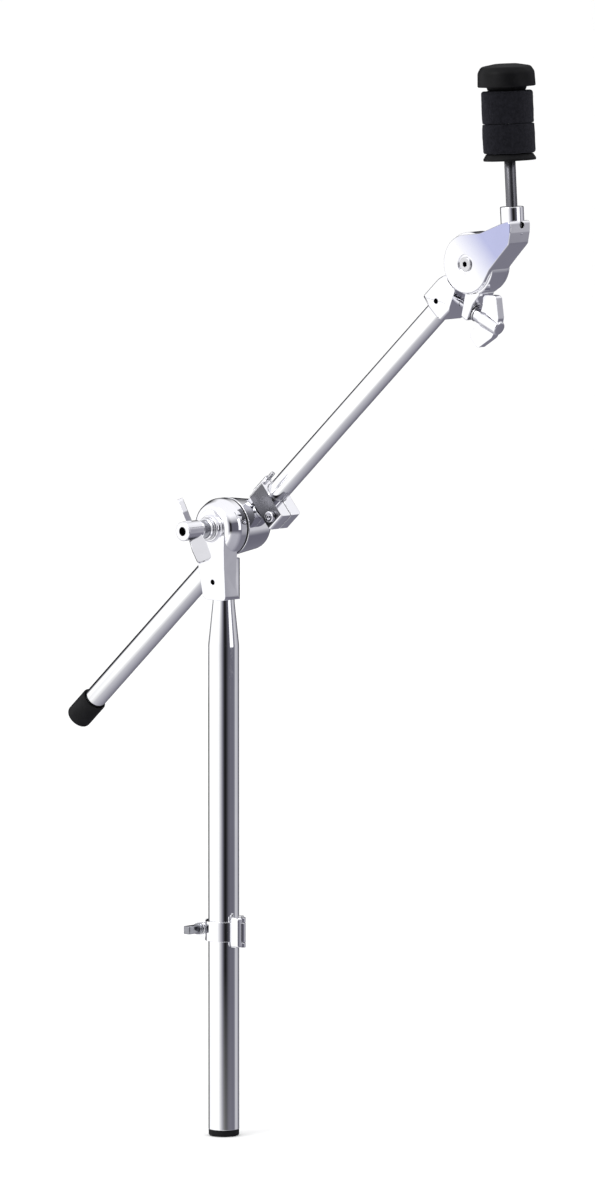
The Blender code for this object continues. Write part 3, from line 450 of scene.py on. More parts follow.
def felt_skin(name):
    """Pressed wool: matted fibres in two sizes, paler fuzz on the surface."""
    skin = Nodes(name)
    mat = skin.noise(420.0, 6.0, 0.7)
    fibres = skin.noise(1700.0, 3.0, 0.7, (1.0, 1.0, 0.35))
    lint = skin.noise(2600.0, 2.0, 0.5)
    base = skin.blend(mat, (0.0022, 0.0022, 0.0032), (0.0105, 0.0105, 0.0140), 0.3, 0.72)
    speck = skin.blend(lint, 0.0, 1.0, 0.66, 0.78)
    colour = mix_colours(skin.tree, speck, base, (0.030, 0.030, 0.038, 1))
    skin.set(Base_Color=colour, Roughness=0.95, Specular_IOR_Level=0.06,
             Sheen_Weight=0.08, Sheen_Roughness=0.55, Sheen_Tint=(0.55, 0.55, 0.68, 1))
    total = skin.add("ShaderNodeMath")
    total.operation = "ADD"
    for socket, value in zip(total.inputs, (mat, fibres)):
        plug(skin.tree, socket, value)
    skin.bump(total.outputs["Value"], 0.9, 0.0007)
    return skin.material


TUBE_CHROME = chrome("tube_chrome", (0.90, 0.905, 0.92), haze=0.02, soft_edge=0.0003)
CAST_CHROME = chrome("cast_chrome", (0.89, 0.89, 0.92), haze=0.035, wave=0.00012, soft_edge=0.0005)
UPHILL = (X + Z).normalized()
DRIFT_LOW, DRIFT_HIGH = 2 * MM, 26 * MM               # where the painted reflection tint starts and is full, from the tilter's centre, uphill
# Painted reflection: the head's chrome turns lavender towards its upper right.
HEAD_PAINTED_REFLECTION_CHROME = painted_reflection_drift(CAST_CHROME, UPHILL, HEAD.dot(UPHILL) + DRIFT_LOW,
                     HEAD.dot(UPHILL) + DRIFT_HIGH, (0.50, 0.52, 0.74))
DARK_CHROME = chrome("dark_chrome", (0.30, 0.305, 0.33), haze=0.16)
ROD_CHROME = chrome("rod_chrome", (0.15, 0.15, 0.165), haze=0.26)
STEEL = steel("nickel_steel", (0.66, 0.66, 0.68), rough=0.22)
BRASS = steel("brass", (0.76, 0.58, 0.28), rough=0.3)
RUBBER = moulded("black_rubber", (0.003, 0.003, 0.004), rough=0.5, grain_scale=1400.0,
                 grain_depth=0.00006, gloss=0.16)
PLASTIC = moulded("black_plastic", (0.002, 0.002, 0.0026), rough=0.4, grain_scale=2200.0,
                  grain_depth=0.00003, gloss=0.13)
FRICTION = moulded("friction_fibre", (0.03, 0.03, 0.03), rough=0.7, grain_scale=900.0,
                   grain_depth=0.0001)
NYLON = moulded("white_nylon", (0.62, 0.62, 0.59), rough=0.45, grain_scale=900.0,
                grain_depth=0.00003)
FELT = felt_skin("charcoal_felt")
# Painted shadow: near-black put on the walls of holes and sockets, where shade falls.
PAINTED_BORE_SHADOW = moulded("painted_bore_shadow", (0.0015, 0.0015, 0.002), rough=0.8, grain_scale=900.0,
               grain_depth=0.00002, gloss=0.02)


# ---------------------------------------------------------------- driving sizes

TUBE_LOW, TUBE_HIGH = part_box("lower_tube")
POST_R = TUBE_HIGH.x
NECK_TOP = TUBE_HIGH.z
NECK_R = 7.9 * MM
POST_WALL = 1.5 * MM
PLUG_H = TUBE_LOW.z
TAPER = (355 * MM, 386 * MM)
BASE_Z0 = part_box("tilter_base")[0].z
BASE_FRONT = -13.4 * MM
DRUM_R = 21 * MM
SEAM_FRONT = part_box("friction_disc")[0].y - GAP       # rear face of the base drum
SEAM_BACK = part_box("boom_clamp")[0].y                 # front face of the clamp drum
PIN_R = 1.7 * MM
PIN_Z = 401 * MM
BOLT_R = 4 * MM
SPRING_ROOM_R = 7.6 * MM                              # pocket for the spring between the drums
WING_SPIN = math.radians(120)                         # the wing nut at rest
WING_PITCH = math.radians(-49)                        # how far its blades lean, like a propeller's
BOOM_R = 7.95 * MM
BOOM_WALL = 1.2 * MM
BOOM_END = -231.5 * MM                                # the rubber cap's outer end, along the boom
BOOM_TOP = 265 * MM
SOCKET_PIN = 260.4 * MM
RING_IN, RING_OUT, RING_HALF = 17.2 * MM, 22.4 * MM, 8 * MM
HEAD_HALF = 12.4 * MM
DISC_R = 20.8 * MM
RECESS = 1.3 * MM                                     # depth of the pivot screw's seat
PIVOT_SCREW_R = 3 * MM
PINCH_R = 2.9 * MM
SET_SCREW_R, SET_SCREW_AT = 2.1 * MM, 29 * MM         # its height is along the rod
ROD_R = 4 * MM
CUP_AT, CUP_H = 74.6 * MM, 4.7 * MM
FELT_R = 18.6 * MM
LOWER_FELT, UPPER_FELT = 20.9 * MM, 22.9 * MM
FELT_AT = CUP_AT + CUP_H + GAP
TOP_FELT_AT = FELT_AT + LOWER_FELT + GAP
KNOB_AT = TOP_FELT_AT + UPPER_FELT + GAP
KNOB_R = 20.2 * MM


def mm(points):
    return [tuple(value * MM for value in point) for point in points]


# ---------------------------------------------------------------- post

def lower_tube():
    inner, neck_inner = POST_R - POST_WALL, NECK_R - POST_WALL
    low, high = TAPER
    lip = 0.35 * MM
    profile = fillet([(NECK_R, NECK_TOP, lip), (NECK_R, high, 14 * MM), (POST_R, low, 14 * MM),
                      (POST_R, PLUG_H, lip), (inner, PLUG_H, lip), (inner, low), (neck_inner, high),
                      (neck_inner, NECK_TOP, lip)], steps=8, closed=True)
    tube = turned("post_tube", profile, sides=128, closed=True)
    hole = rod("post_pin_hole", PIN_R + GAP, 40 * MM, shift(0, 20 * MM, PIN_Z) @ TO_FRONT)
    finish(cut(tube, hole), TUBE_CHROME, "post", "chrome_tube", "lower_tube")


def lower_plug():
    stem = POST_R - POST_WALL - GAP
    skirt = PLUG_H - GAP
    rim, top = POST_R - 0.1 * MM, 16 * MM
    profile = fillet([(0, top), (stem, top, 1 * MM), (stem, skirt), (rim, skirt, 0.4 * MM),
                      (rim, 0, 1.6 * MM), (0, 0)])
    finish(turned("post_plug", profile), RUBBER, "post", "black_rubber", "lower_tube_plug")


# ---------------------------------------------------------------- memory locks

SPLIT = 0.4 * MM
SCREW_R = 2.4 * MM
HINGE_PIN_R = 1.25 * MM
LEAF = 3.4 * MM
KNUCKLE_GAP = 0.35 * MM
TRIM = 0.03 * MM               # keeps cut faces off the knuckles' end faces
NEAR, FAR = -1, 1              # which side of local Y a lock half is on


class Lock:
    """Sizes of a hinged two-piece clamp: the tube is local Z, the hinge at +X, the ears at -X."""

    def __init__(self, place, tube, half, web, hinge, knuckle, screw, outline):
        self.place, self.bore, self.half, self.web = place, tube + GAP, half, web
        self.hinge, self.knuckle, self.screw, self.outline = hinge, knuckle, screw, outline
        self.end = half + web
        self.inner = self.end - LEAF - KNUCKLE_GAP


def lock_half(name, lock, side, *extras):
    """A lock half with its knuckles, bore, pin hole and screw hole."""
    outline = [(x, side * y) for x, y in lock.outline]
    half = bevel(plate(name, outline, 2 * lock.half, lock.place), 0.9 * MM, 3, 40)
    start = lock.inner + KNUCKLE_GAP + TRIM
    spans = [(-lock.end, -start), (start, lock.end)]
    if side == FAR:
        spans = [(TRIM - lock.inner, lock.inner - TRIM)]
    for low, high in spans:
        depth = lock.knuckle + (2 * MM if side == NEAR else 0)
        near, far = sorted((side * SPLIT, side * depth))
        arm = block("arm", (lock.bore + 1.1 * MM, near, low), (lock.hinge, far, high), lock.place)
        eye = rod("eye", lock.knuckle, high - low, lock.place @ shift(lock.hinge, 0, low),
                  48, 0.3 * MM)
        half = add(half, arm, eye)
    half = add(half, *extras)
    rooms = [(-lock.inner - KNUCKLE_GAP, lock.inner + KNUCKLE_GAP)]
    if side == FAR:
        rooms = [(-lock.end - 1 * MM, -lock.inner), (lock.inner, lock.end + 1 * MM)]
    for low, high in rooms:
        half = cut(half, rod("room", lock.knuckle + 0.45 * MM, high - low,
                             lock.place @ shift(lock.hinge, 0, low), 48))
    reach = lock.end + 6 * MM
    slack = 0.7 * MM if side == FAR else GAP
    across = lock.place @ shift(lock.screw, 30 * MM, 0) @ TO_FRONT
    return cut(half, rod("bore", lock.bore, 2 * reach, lock.place @ shift(0, 0, -reach), 96),
               rod("pin_hole", HINGE_PIN_R + GAP, 2 * reach,
                   lock.place @ shift(lock.hinge, 0, -reach), 32),
               rod("screw_hole", SCREW_R + slack, 60 * MM, across, 32))


def lock_pin(name, lock):
    head, dome, tip = HINGE_PIN_R + 0.9 * MM, 0.9 * MM, -0.2 * MM
    under = 2 * lock.end + GAP
    profile = fillet([(0, under + dome), (head, under + dome, 0.7 * MM), (head, under, 0.15 * MM),
                      (HINGE_PIN_R, under), (HINGE_PIN_R, tip, 0.4 * MM), (0, tip)])
    return turned(name, profile, lock.place @ shift(lock.hinge, 0, -lock.end), 48)


def lock_screw(name, lock, head, reach, square):
    """A drum-key screw: a square drive, or a round head with a hexagon socket."""
    place = lock.place @ shift(lock.screw, head, 0) @ TO_FRONT
    screw = rod(name, SCREW_R, reach + 1 * MM, place @ shift(0, 0, -reach), 40, 0.4 * MM)
    collar = rod("collar", 4 * MM, 3 * MM, place, 64, 0.5 * MM)
    if square:
        half = 2.9 * MM
        key = block("key", (-half, -half, 1 * MM), (half, half, square), place, 0.55 * MM)
        return add(screw, collar, key)
    screw = add(screw, collar)
    return cut(screw, rod("drive", 1.9 * MM, 3 * MM, place @ shift(0, 0, 1.2 * MM), 6))


def post_lock():
    ring, ear_end, ear_y = 13.3 * MM, -23 * MM, 4.4 * MM
    start = math.degrees(math.asin(SPLIT / ring))
    meet = 180 - math.degrees(math.asin(ear_y / ring))
    ear = fillet([(-12 * MM, ear_y), (ear_end, ear_y, 1.2 * MM), (ear_end, SPLIT)])
    outline = arc(0, 0, ring, start, meet, 40) + ear[1:]
    lock = Lock(shift(*POST_LOCK), POST_R, half=7.1 * MM, web=3.7 * MM, hinge=17.4 * MM,
                knuckle=3.2 * MM, screw=-18.6 * MM, outline=outline)
    reach = lock.end - 0.5 * MM
    taper = [(ear_end - 1 * MM, -8 * MM), (-12 * MM, -8 * MM), (ear_end - 1 * MM, -4.2 * MM)]
    for side, name, body in ((NEAR, "lower_lock_body", "post_lock"),
                             (FAR, "lower_lock_jaw", "post_lock_jaw")):
        extras = []
        if side == NEAR:
            low = (lock.bore + 1 * MM, -6.2 * MM, -reach)
            high = (lock.hinge + 2.6 * MM, -SPLIT - 0.3 * MM, reach)
            extras = [block("leaf", low, high, lock.place, 0.9 * MM)]
        half = lock_half(name + "_shell", lock, side, *extras)
        for flip in (1, -1):
            corner = [(x, y * flip) for x, y in taper]
            half = cut(half, plate("taper", corner, 30 * MM, lock.place @ TO_FRONT))
        finish(half, CAST_CHROME, body, "chrome_cast", name)
    pin = lock_pin("lower_lock_pin", lock)
    finish(pin, STEEL, "post_lock", "steel_hardware", "lower_lock_hinge_pin")
    inner, outer, thick = SCREW_R + GAP, 4.4 * MM, 1 * MM
    washer = [(outer, thick, 0.2 * MM), (outer, 0), (inner, 0), (inner, thick)]
    washer = turned("lower_lock_flat_washer", fillet(washer, closed=True),
                    lock.place @ shift(lock.screw, -ear_y - GAP, 0) @ TO_FRONT, 64, True)
    finish(washer, STEEL, "post_lock", "steel_hardware", "lower_lock_washer")
    screw = lock_screw("lower_lock_key_screw", lock, head=-ear_y - thick - 2 * GAP,
                       reach=12.4 * MM, square=13.5 * MM)
    finish(screw, DARK_CHROME, "post_lock_screw", "dark_chrome", "lower_lock_screw")


def boom_lock():
    half_y, foot, top, corner = 10 * MM, -20.7 * MM, 10.4 * MM, 2.6 * MM
    outline = [(top, SPLIT), (top, half_y, corner), (foot, half_y, corner), (foot, SPLIT)]
    outline = fillet(outline, steps=8)
    place = BOOM @ shift(LOCK_S, 0, 0) @ Matrix.Rotation(-math.pi / 2, 4, "Y")
    lock = Lock(place, BOOM_R, half=8 * MM, web=0, hinge=12.9 * MM, knuckle=2.7 * MM,
                screw=-14.8 * MM, outline=outline)
    key = block("key", (4 * MM, -9.6 * MM, 6 * MM), (9 * MM, -4 * MM, 12.2 * MM), place, 0.7 * MM)
    body = lock_half("boom_lock_body_shell", lock, NEAR, key)
    clear_skins(body)
    # Painted reflection: the lock's near face gets the dark rod chrome, standing in for the dark
    # studio it would mirror.
    second_skin(body, ROD_CHROME, place @ shift(0, -half_y, 0) @ TO_FRONT, 60 * MM,
                -0.25 * MM, 1 * MM)
    finish(body, CAST_CHROME, "boom_lock", "chrome_cast", "boom_lock_body")
    jaw = lock_half("boom_lock_jaw_shell", lock, FAR)
    finish(jaw, CAST_CHROME, "boom_lock_clamp", "chrome_cast", "boom_lock_jaw")
    pin = lock_pin("boom_lock_pin", lock)
    finish(pin, STEEL, "boom_lock", "steel_hardware", "boom_lock_hinge_pin")
    screw = lock_screw("boom_lock_key_screw", lock, head=-half_y - GAP, reach=18.6 * MM, square=0)
    finish(screw, CAST_CHROME, "boom_lock_key_screw", "chrome_cast", "boom_lock_screw")


# ---------------------------------------------------------------- boom tilter

def tilter_base():
    """The front casting: a U-section stem over the post's neck, under a domed drum."""
    foot, waist, ledge, over = BASE_Z0 - 1 * MM, 410 * MM, 417.5 * MM, 470 * MM
    front = [(-10.9 * MM, BASE_Z0), (-12.7 * MM, waist), (-13.6 * MM, PIVOT.z)]
    front += arc(0, PIVOT.z, 13.6 * MM, 180, 0, 32)[1:]
    front += [(12.7 * MM, waist), (10.9 * MM, BASE_Z0)]
    front = fillet(front, 4 * MM, closed=True)
    stem = plate("boom_tilter_base", front, 60 * MM, TO_FRONT)
    back, rear = SEAM_FRONT - 0.7 * MM, 14 * MM
    side = [(-9.4 * MM, foot), (-12.6 * MM, waist, 20 * MM), (BASE_FRONT, 425 * MM, 20 * MM),
            (BASE_FRONT, over), (back, over), (back, ledge), (rear, ledge, 3 * MM), (rear, foot)]
    quarter = Matrix.Rotation(math.pi / 2, 4, "Z") @ TO_FRONT
    wide, ahead = 13.9 * MM, -23.5 * MM
    above = [(wide, ahead), (wide, 0)] + arc(0, 0, 11.6 * MM, 0, 180, 40)
    above += [(-wide, 0), (-wide, ahead)]
    stem = keep(stem, plate("side", fillet(side, closed=True, steps=8), 60 * MM, quarter),
                plate("above", above, 100 * MM, shift(0, 0, 430 * MM)))
    stem = bevel(stem, 1.3 * MM, 4, 50)
    dome = mm([(0, 0), (21, 0, 0.5), (21, -7, 8), (17.6, -14.2, 6), (13.6, -15.8, 2), (0, -15.8)])
    drum = turned("drum", fillet(dome, steps=8), shift(0, SEAM_FRONT, PIVOT.z) @ TO_BACK, 128)
    top = 4.1 * MM
    boss = fillet([(0, top), (9.4 * MM, top, 1.4 * MM), (10.2 * MM, 0), (0, 0)])
    boss = turned("boss", boss, shift(0, BASE_FRONT + 1.3 * MM, PIVOT.z) @ TO_FRONT)
    stem = add(stem, drum, boss)
    pocket = shift(0, SEAM_FRONT + 2 * MM, PIVOT.z) @ TO_FRONT
    stem = cut(stem, rod("pocket", SPRING_ROOM_R, 10 * MM, pocket),
               rod("pin_hole", PIN_R + GAP, 60 * MM, shift(0, 30 * MM, PIN_Z) @ TO_FRONT),
               rod("socket", NECK_R + GAP, 28 * MM, shift(0, 0, 386.6 * MM)),
               rod("bolt_hole", BOLT_R + GAP, 60 * MM, shift(0, 30 * MM, PIVOT.z) @ TO_FRONT))
    clear_skins(stem)
    # Painted shadow on the walls of the roll pin's hole.
    second_skin(stem, PAINTED_BORE_SHADOW, shift(0, 0, PIN_Z) @ TO_FRONT, PIN_R + GAP + WALL_REACH)
    finish(stem, CAST_CHROME, "post", "chrome_cast", "tilter_base")


def spring_pin(name, length, place):
    """A rolled pin, open along one side."""
    pin = sleeve(name, PIN_R - 0.5 * MM, PIN_R, length, place, 0.15 * MM, 2, 48)
    end = length + 1 * MM
    return cut(pin, block("slit", (0, -0.2 * MM, -1 * MM), (4 * MM, 0.2 * MM, end), place))


def boom_clamp():
    """The rear drum, which the boom passes through."""
    front = SEAM_BACK - BOOM_Y
    place = BOOM @ TO_BACK
    shell = [(0, 13.4 * MM), (9.4 * MM, 13.4 * MM, 7 * MM), (17.9 * MM, 3.2 * MM, 7 * MM),
             (DRUM_R, front + 1 * MM, 3 * MM), (DRUM_R, front, 0.5 * MM), (0, front)]
    drum = turned("rear_drum", fillet(shell, steps=8), place, 128)
    pocket = shift(0, 0, front - 1 * MM)
    notch = block("notch", (16.4 * MM, -10.4 * MM, 3.2 * MM), (24 * MM, -3.2 * MM, 9.8 * MM), BOOM)
    bore = rod("bore", BOOM_R + 1.3 * MM, 60 * MM, BOOM @ shift(-30 * MM, 0, 0) @ TO_X, 96)
    drum = cut(drum, bore, rod("eye_room", 12 * MM, 9 * MM, BOOM @ shift(-4.5 * MM, 0, 0) @ TO_X),
               rod("shank", BOLT_R + GAP, 40 * MM, BOOM @ TO_FRONT),
               rod("pocket", SPRING_ROOM_R, 6 * MM, place @ pocket), notch)
    finish(drum, CAST_CHROME, "boom_carrier", "chrome_cast", "boom_clamp")


def wings(hub, place, spin, outline, thick, height=0.0, pitch=math.pi / 2):
    """Two wings on a hub along Z. The outline is distance from the axis, height, radius, in mm."""
    for side in range(2):
        turn = Matrix.Rotation(spin + side * math.pi, 4, "Z") @ Matrix.Rotation(pitch, 4, "X")
        wing = plate("wing", fillet(mm(outline), steps=8, closed=True), thick,
                     place @ shift(0, 0, height) @ turn)
        hub = add(hub, bevel(wing, 0.4 * thick, 5, 40))
    return hub


def wing_nut():
    washer_at = BASE_FRONT - 2.8 * MM - GAP
    thick = 1.6 * MM
    washer = sleeve("wing_nut_flat_washer", BOLT_R + GAP, 8.4 * MM, thick,
                    shift(0, washer_at, PIVOT.z) @ TO_FRONT, 0.25 * MM)
    finish(washer, STEEL, "nut_washer", "steel_hardware", "wing_nut_washer")
    face = washer_at - thick - GAP
    end = -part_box("wing_nut")[0].y
    length, inner = end + face, BOLT_R + GAP
    place = shift(0, face, PIVOT.z) @ TO_FRONT
    profile = [(6.9 * MM, length, 0.9 * MM), (7 * MM, 9 * MM, 1 * MM), (6.4 * MM, 7 * MM, 1 * MM),
               (6.4 * MM, 1.4 * MM, 1 * MM), (7.6 * MM, 0.9 * MM, 0.3 * MM), (7.6 * MM, 0),
               (inner, 0), (inner, length - 4 * MM), (3 * MM, length - 2.6 * MM),
               (3 * MM, length, 0.3 * MM)]
    hub = turned("boom_wing_nut", fillet(profile, steps=5, closed=True), place, 96, True)
    wing = [(5, -4.8), (13.5, -5.7, 6), (24.5, -5.3, 3), (24.5, 5.3, 3), (12, 5.7, 6), (5, 4.4)]
    hub = wings(hub, place, WING_SPIN, wing, 3.8 * MM, height=13.4 * MM, pitch=WING_PITCH)
    clear_skins(hub)
    # Painted shadow in the wing nut's bore.
    second_skin(hub, PAINTED_BORE_SHADOW, place, inner + 0.1 * MM, high=length + 1 * MM)
    # Painted shade: the hub's narrow waist between its base flange and its shoulder gets dark
    # chrome.
    second_skin(hub, DARK_CHROME, place, 7.2 * MM, 1.2 * MM, 8.5 * MM)
    finish(hub, CAST_CHROME, "nut", "chrome_cast", "wing_nut")


# ---------------------------------------------------------------- boom

def boom():
    low = BOOM_END + 2.4 * MM
    tube = sleeve("boom_pipe", BOOM_R - BOOM_WALL, BOOM_R, BOOM_TOP - low,
                  BOOM @ shift(low, 0, 0) @ TO_X, 0.2 * MM, 2, 128)
    across = BOOM @ shift(SOCKET_PIN, 20 * MM, 0) @ TO_FRONT
    tube = cut(tube, rod("hole", PIN_R + GAP, 40 * MM, across))
    finish(tube, TUBE_CHROME, "boom", "chrome_tube", "boom_tube")
    length, skin, inner = 22.6 * MM, BOOM_R + 1.45 * MM, BOOM_R + GAP
    cap = [(skin, length, 0.6 * MM), (skin, 0, 2.6 * MM), (0, 0), (0, 2 * MM), (inner, 2 * MM),
           (inner, length, 0.3 * MM)]
    cap = turned("boom_cap", fillet(cap, steps=6, closed=True),
                 BOOM @ shift(BOOM_END, 0, 0) @ TO_X, 96, True)
    finish(cap, RUBBER, "boom", "black_rubber", "boom_end_cap")


# ---------------------------------------------------------------- cymbal tilter

def in_head(s, t):
    """A point given along and across the boom, in the tilter's X-Z plane."""
    p = BOOM @ Vector((s * MM, 0, t * MM)) - HEAD
    return (p.x, p.z)


def at_head(y=0.0):
    return TILTER @ shift(0, y, 0)


def boom_socket():
    """The split ring round the tilter's drum, with the boom's socket and two pinch ears."""
    ring = [(RING_OUT, RING_HALF), (RING_OUT, -RING_HALF), (RING_IN, -RING_HALF),
            (RING_IN, RING_HALF)]
    ring = turned("split_socket", fillet(ring, 0.8 * MM, 4, True), at_head() @ TO_BACK, 128, True)
    side = [(252, 10.6), (251.2, 0), (252.4, -11), (254.4, -12.4), (268.4, -12.9), (279.6, -7.4),
            (283, 0), (278.4, 9.6), (271.7, 11.2), (254, 11.2)]
    radii = (1.2, 20, 1.2, 2, 8, 5, 5, 6, 8, 1.2)
    side = [(*in_head(s, t), radius * MM) for (s, t), radius in zip(side, radii)]
    neck = plate("neck", fillet(side, steps=6, closed=True), 2 * HEAD_HALF - 2 * GAP,
                 at_head() @ TO_FRONT, 2.4 * MM, 5)
    ear = mm([(-4.4, -21, 2), (-8.2, -37.6, 1.6), (-2.8, -40.8, 1.6), (2.8, -28.8, 6),
              (9.7, -21.4, 3), (9.5, -18, 1), (0, -18.6)])
    lug = plate("lug", fillet(ear, closed=True), 2 * RING_HALF, at_head() @ TO_FRONT, 1.2 * MM, 4)
    ring = add(ring, neck, lug)
    inside = rod("inside", RING_IN, 40 * MM, at_head(20 * MM) @ TO_FRONT, 128)
    outer, inner, deep = DISC_R + 0.5 * MM, RING_IN - 1 * MM, 8 * MM
    sweep = [(outer, deep), (outer, 0), (inner, 0), (inner, deep)]
    rear = turned("rear", sweep, at_head(RING_HALF) @ TO_BACK, 128, True)
    front = turned("front", sweep, at_head(-RING_HALF) @ TO_FRONT, 128, True)
    along_slot = Matrix.Rotation(math.radians(113), 4, "Y") @ TO_FRONT
    half = 1.75 * MM
    slot = block("slot", (RING_IN - 2 * MM, -half, -20 * MM), (60 * MM, half, 20 * MM),
                 at_head() @ along_slot)
    across = BOOM @ shift(SOCKET_PIN, 30 * MM, 0) @ TO_FRONT
    ring = cut(ring, inside, rear, front, slot,
               rod("bore", BOOM_R + GAP, 20 * MM, BOOM @ shift(246 * MM, 0, 0) @ TO_X, 96),
               rod("pin_hole", PIN_R + GAP, 60 * MM, across, 48),
               rod("pinch_hole", PINCH_R + GAP, 40 * MM, up_the_bolt(-6.5 * MM), 48))
    clear_skins(ring)
    # Painted shadow on the walls of the roll pin's hole.
    second_skin(ring, PAINTED_BORE_SHADOW, BOOM @ shift(SOCKET_PIN, 0, 0) @ TO_FRONT, PIN_R + GAP + WALL_REACH)
    finish(ring, CAST_CHROME, "boom", "chrome_cast", "boom_socket")


def wing_bolt():
    seat, thick = 13.4 * MM, 1.2 * MM
    washer = sleeve("wing_bolt_flat_washer", PINCH_R + GAP, 6.2 * MM, thick, up_the_bolt(seat),
                    0.2 * MM)
    finish(washer, STEEL, "pinch_washer", "steel_hardware", "wing_bolt_washer")
    place = up_the_bolt(seat + thick + GAP)
    length = 22.4 * MM
    profile = [(0, length), (5.2 * MM, length, 1.4 * MM), (6.2 * MM, 8 * MM, 1.5 * MM),
               (5.6 * MM, 5 * MM, 1.5 * MM), (5.6 * MM, 0, 0.3 * MM), (0, 0)]
    hub = turned("head_wing_bolt", fillet(profile, steps=5), place)
    hub = add(hub, rod("shank", PINCH_R, 21 * MM, place @ shift(0, 0, -20 * MM), 48, 0.4 * MM))
    wing = [(2, 4), (9, 3.2, 3), (14, 1.4, 2), (16.5, 1.8, 2), (20.5, 10, 3), (20, 12.5, 1.5),
            (8, 20.4, 4), (2, 21.5)]
    hub = wings(hub, place, 0, wing, 6 * MM)
    finish(hub, CAST_CHROME, "pinch_bolt", "chrome_cast", "wing_bolt")


def tilter_head():
    """The front cheek, the arm and the rod's collar in one casting."""
    arm = mm([(22.6, -2.9, 6), (31.6, 6.4, 6), (41.4, 16.2, 4), (43.1, 24.8, 8), (43.3, 33.4, 4),
              (34.4, 30.8, 4), (13.7, 22.7, 8)])
    outline = arc(0, 0, DISC_R, 100, 332, 64) + fillet(arm, steps=6)
    depth = 2 * HEAD_HALF
    head = plate("cymbal_tilter_head", outline, depth, at_head() @ TO_FRONT, 1.1 * MM, 4)
    ring_room = rod("ring_room", RING_OUT + 0.5 * MM, depth,
                    at_head(depth - RING_HALF - GAP) @ TO_FRONT, 128)
    back_room = rod("back_room", DISC_R + 1 * MM, 10 * MM,
                    at_head(HEAD_HALF + 5 * MM) @ TO_FRONT, 128)
    collar = rod("collar", 8.35 * MM, 20.2 * MM, up_the_rod(22 * MM), 96, 0.9 * MM)
    rear = block("rear", (20 * MM, RING_HALF + 0.2 * MM, -20 * MM), (60 * MM, 20 * MM, 50 * MM),
                 at_head())
    head = add(bevel(cut(head, ring_room, back_room, rear), 0.6 * MM, 3, 60), collar)
    recess = rod("recess", 7 * MM, 3 * MM, at_head(-HEAD_HALF + RECESS) @ TO_FRONT, 96)
    screw_hole = rod("screw_hole", PIVOT_SCREW_R + GAP, 60 * MM, at_head(30 * MM) @ TO_FRONT)
    rod_hole = rod("rod_hole", ROD_R + GAP, 60 * MM, up_the_rod(15.6 * MM))
    set_hole = rod("set_hole", SET_SCREW_R + GAP, 20 * MM,
                   up_the_rod(SET_SCREW_AT) @ shift(ROD_R - 2 * MM, 0, 0) @ TO_X, 48)
    head = cut(head, recess, screw_hole, rod_hole, set_hole)
    clear_skins(head)
    # Painted shadow on the walls of the set screw's hole.
    second_skin(head, PAINTED_BORE_SHADOW, up_the_rod(SET_SCREW_AT) @ TO_X, SET_SCREW_R + GAP + WALL_REACH,
                ROD_R - 0.5 * MM)
    # Painted reflection on the head's front face: white at lower left, lavender at upper right.
    second_skin(head, HEAD_PAINTED_REFLECTION_CHROME, at_head() @ TO_FRONT, 90 * MM, HEAD_HALF - 0.3 * MM)
    finish(head, CAST_CHROME, "cymbal_head", "chrome_cast", "tilter_head")


def tilter_hardware():
    thick = HEAD_HALF - RING_HALF - GAP
    room, hole, floor_at = 5 * MM, 3.4 * MM, thick - 1.8 * MM
    disc = [(room, thick), (DISC_R, thick, 1.2 * MM), (DISC_R, 0, 0.3 * MM), (hole, 0),
            (hole, floor_at), (room, floor_at)]
    disc = turned("tilter_back_cheek", fillet(disc, closed=True),
                  at_head(RING_HALF + GAP) @ TO_BACK, 128, True)
    finish(disc, CAST_CHROME, "cymbal_head", "chrome_cast", "tilter_back_plate")
    face = -HEAD_HALF + RECESS - GAP
    rim, top, low = 5.2 * MM, 1.2 * MM, -24.4 * MM
    profile = [(0, top), (rim, top, 0.6 * MM), (rim, 0, 0.1 * MM), (PIVOT_SCREW_R, 0),
               (PIVOT_SCREW_R, low, 0.4 * MM), (0, low)]
    screw = turned("tilter_pivot_screw", fillet(profile), at_head(face) @ TO_FRONT)
    screw = cut(screw, rod("hex", 2.2 * MM, 6 * MM, at_head(face + 1.6 * MM) @ TO_FRONT, 6))
    clear_skins(screw)
    # Painted shadow in the pivot screw's hexagon socket.
    second_skin(screw, PAINTED_BORE_SHADOW, at_head(face) @ TO_FRONT, 2.25 * MM, -4.6 * MM, 1.3 * MM)
    finish(screw, STEEL, "cymbal_head", "steel_hardware", "pivot_screw")
    nut = rod("tilter_pivot_nut", 4.6 * MM, 1.5 * MM, at_head(HEAD_HALF + 0.1 * MM) @ TO_FRONT, 6)
    nut = cut(bevel(nut, 0.15 * MM), rod("hole", PIVOT_SCREW_R + GAP, 6 * MM,
                                         at_head(HEAD_HALF + 3 * MM) @ TO_FRONT, 48))
    finish(nut, STEEL, "cymbal_head", "steel_hardware", "pivot_nut")
    place = up_the_rod(SET_SCREW_AT) @ shift(ROD_R + GAP, 0, 0) @ TO_X
    grub = rod("rod_grub_screw", SET_SCREW_R, 3 * MM, place, 48, 0.25 * MM)
    grub = cut(grub, rod("hex", 1.1 * MM, 3 * MM, place @ shift(0, 0, 1.4 * MM), 6))
    finish(grub, STEEL, "cymbal_head", "steel_hardware", "rod_set_screw")


# ---------------------------------------------------------------- cymbal stack

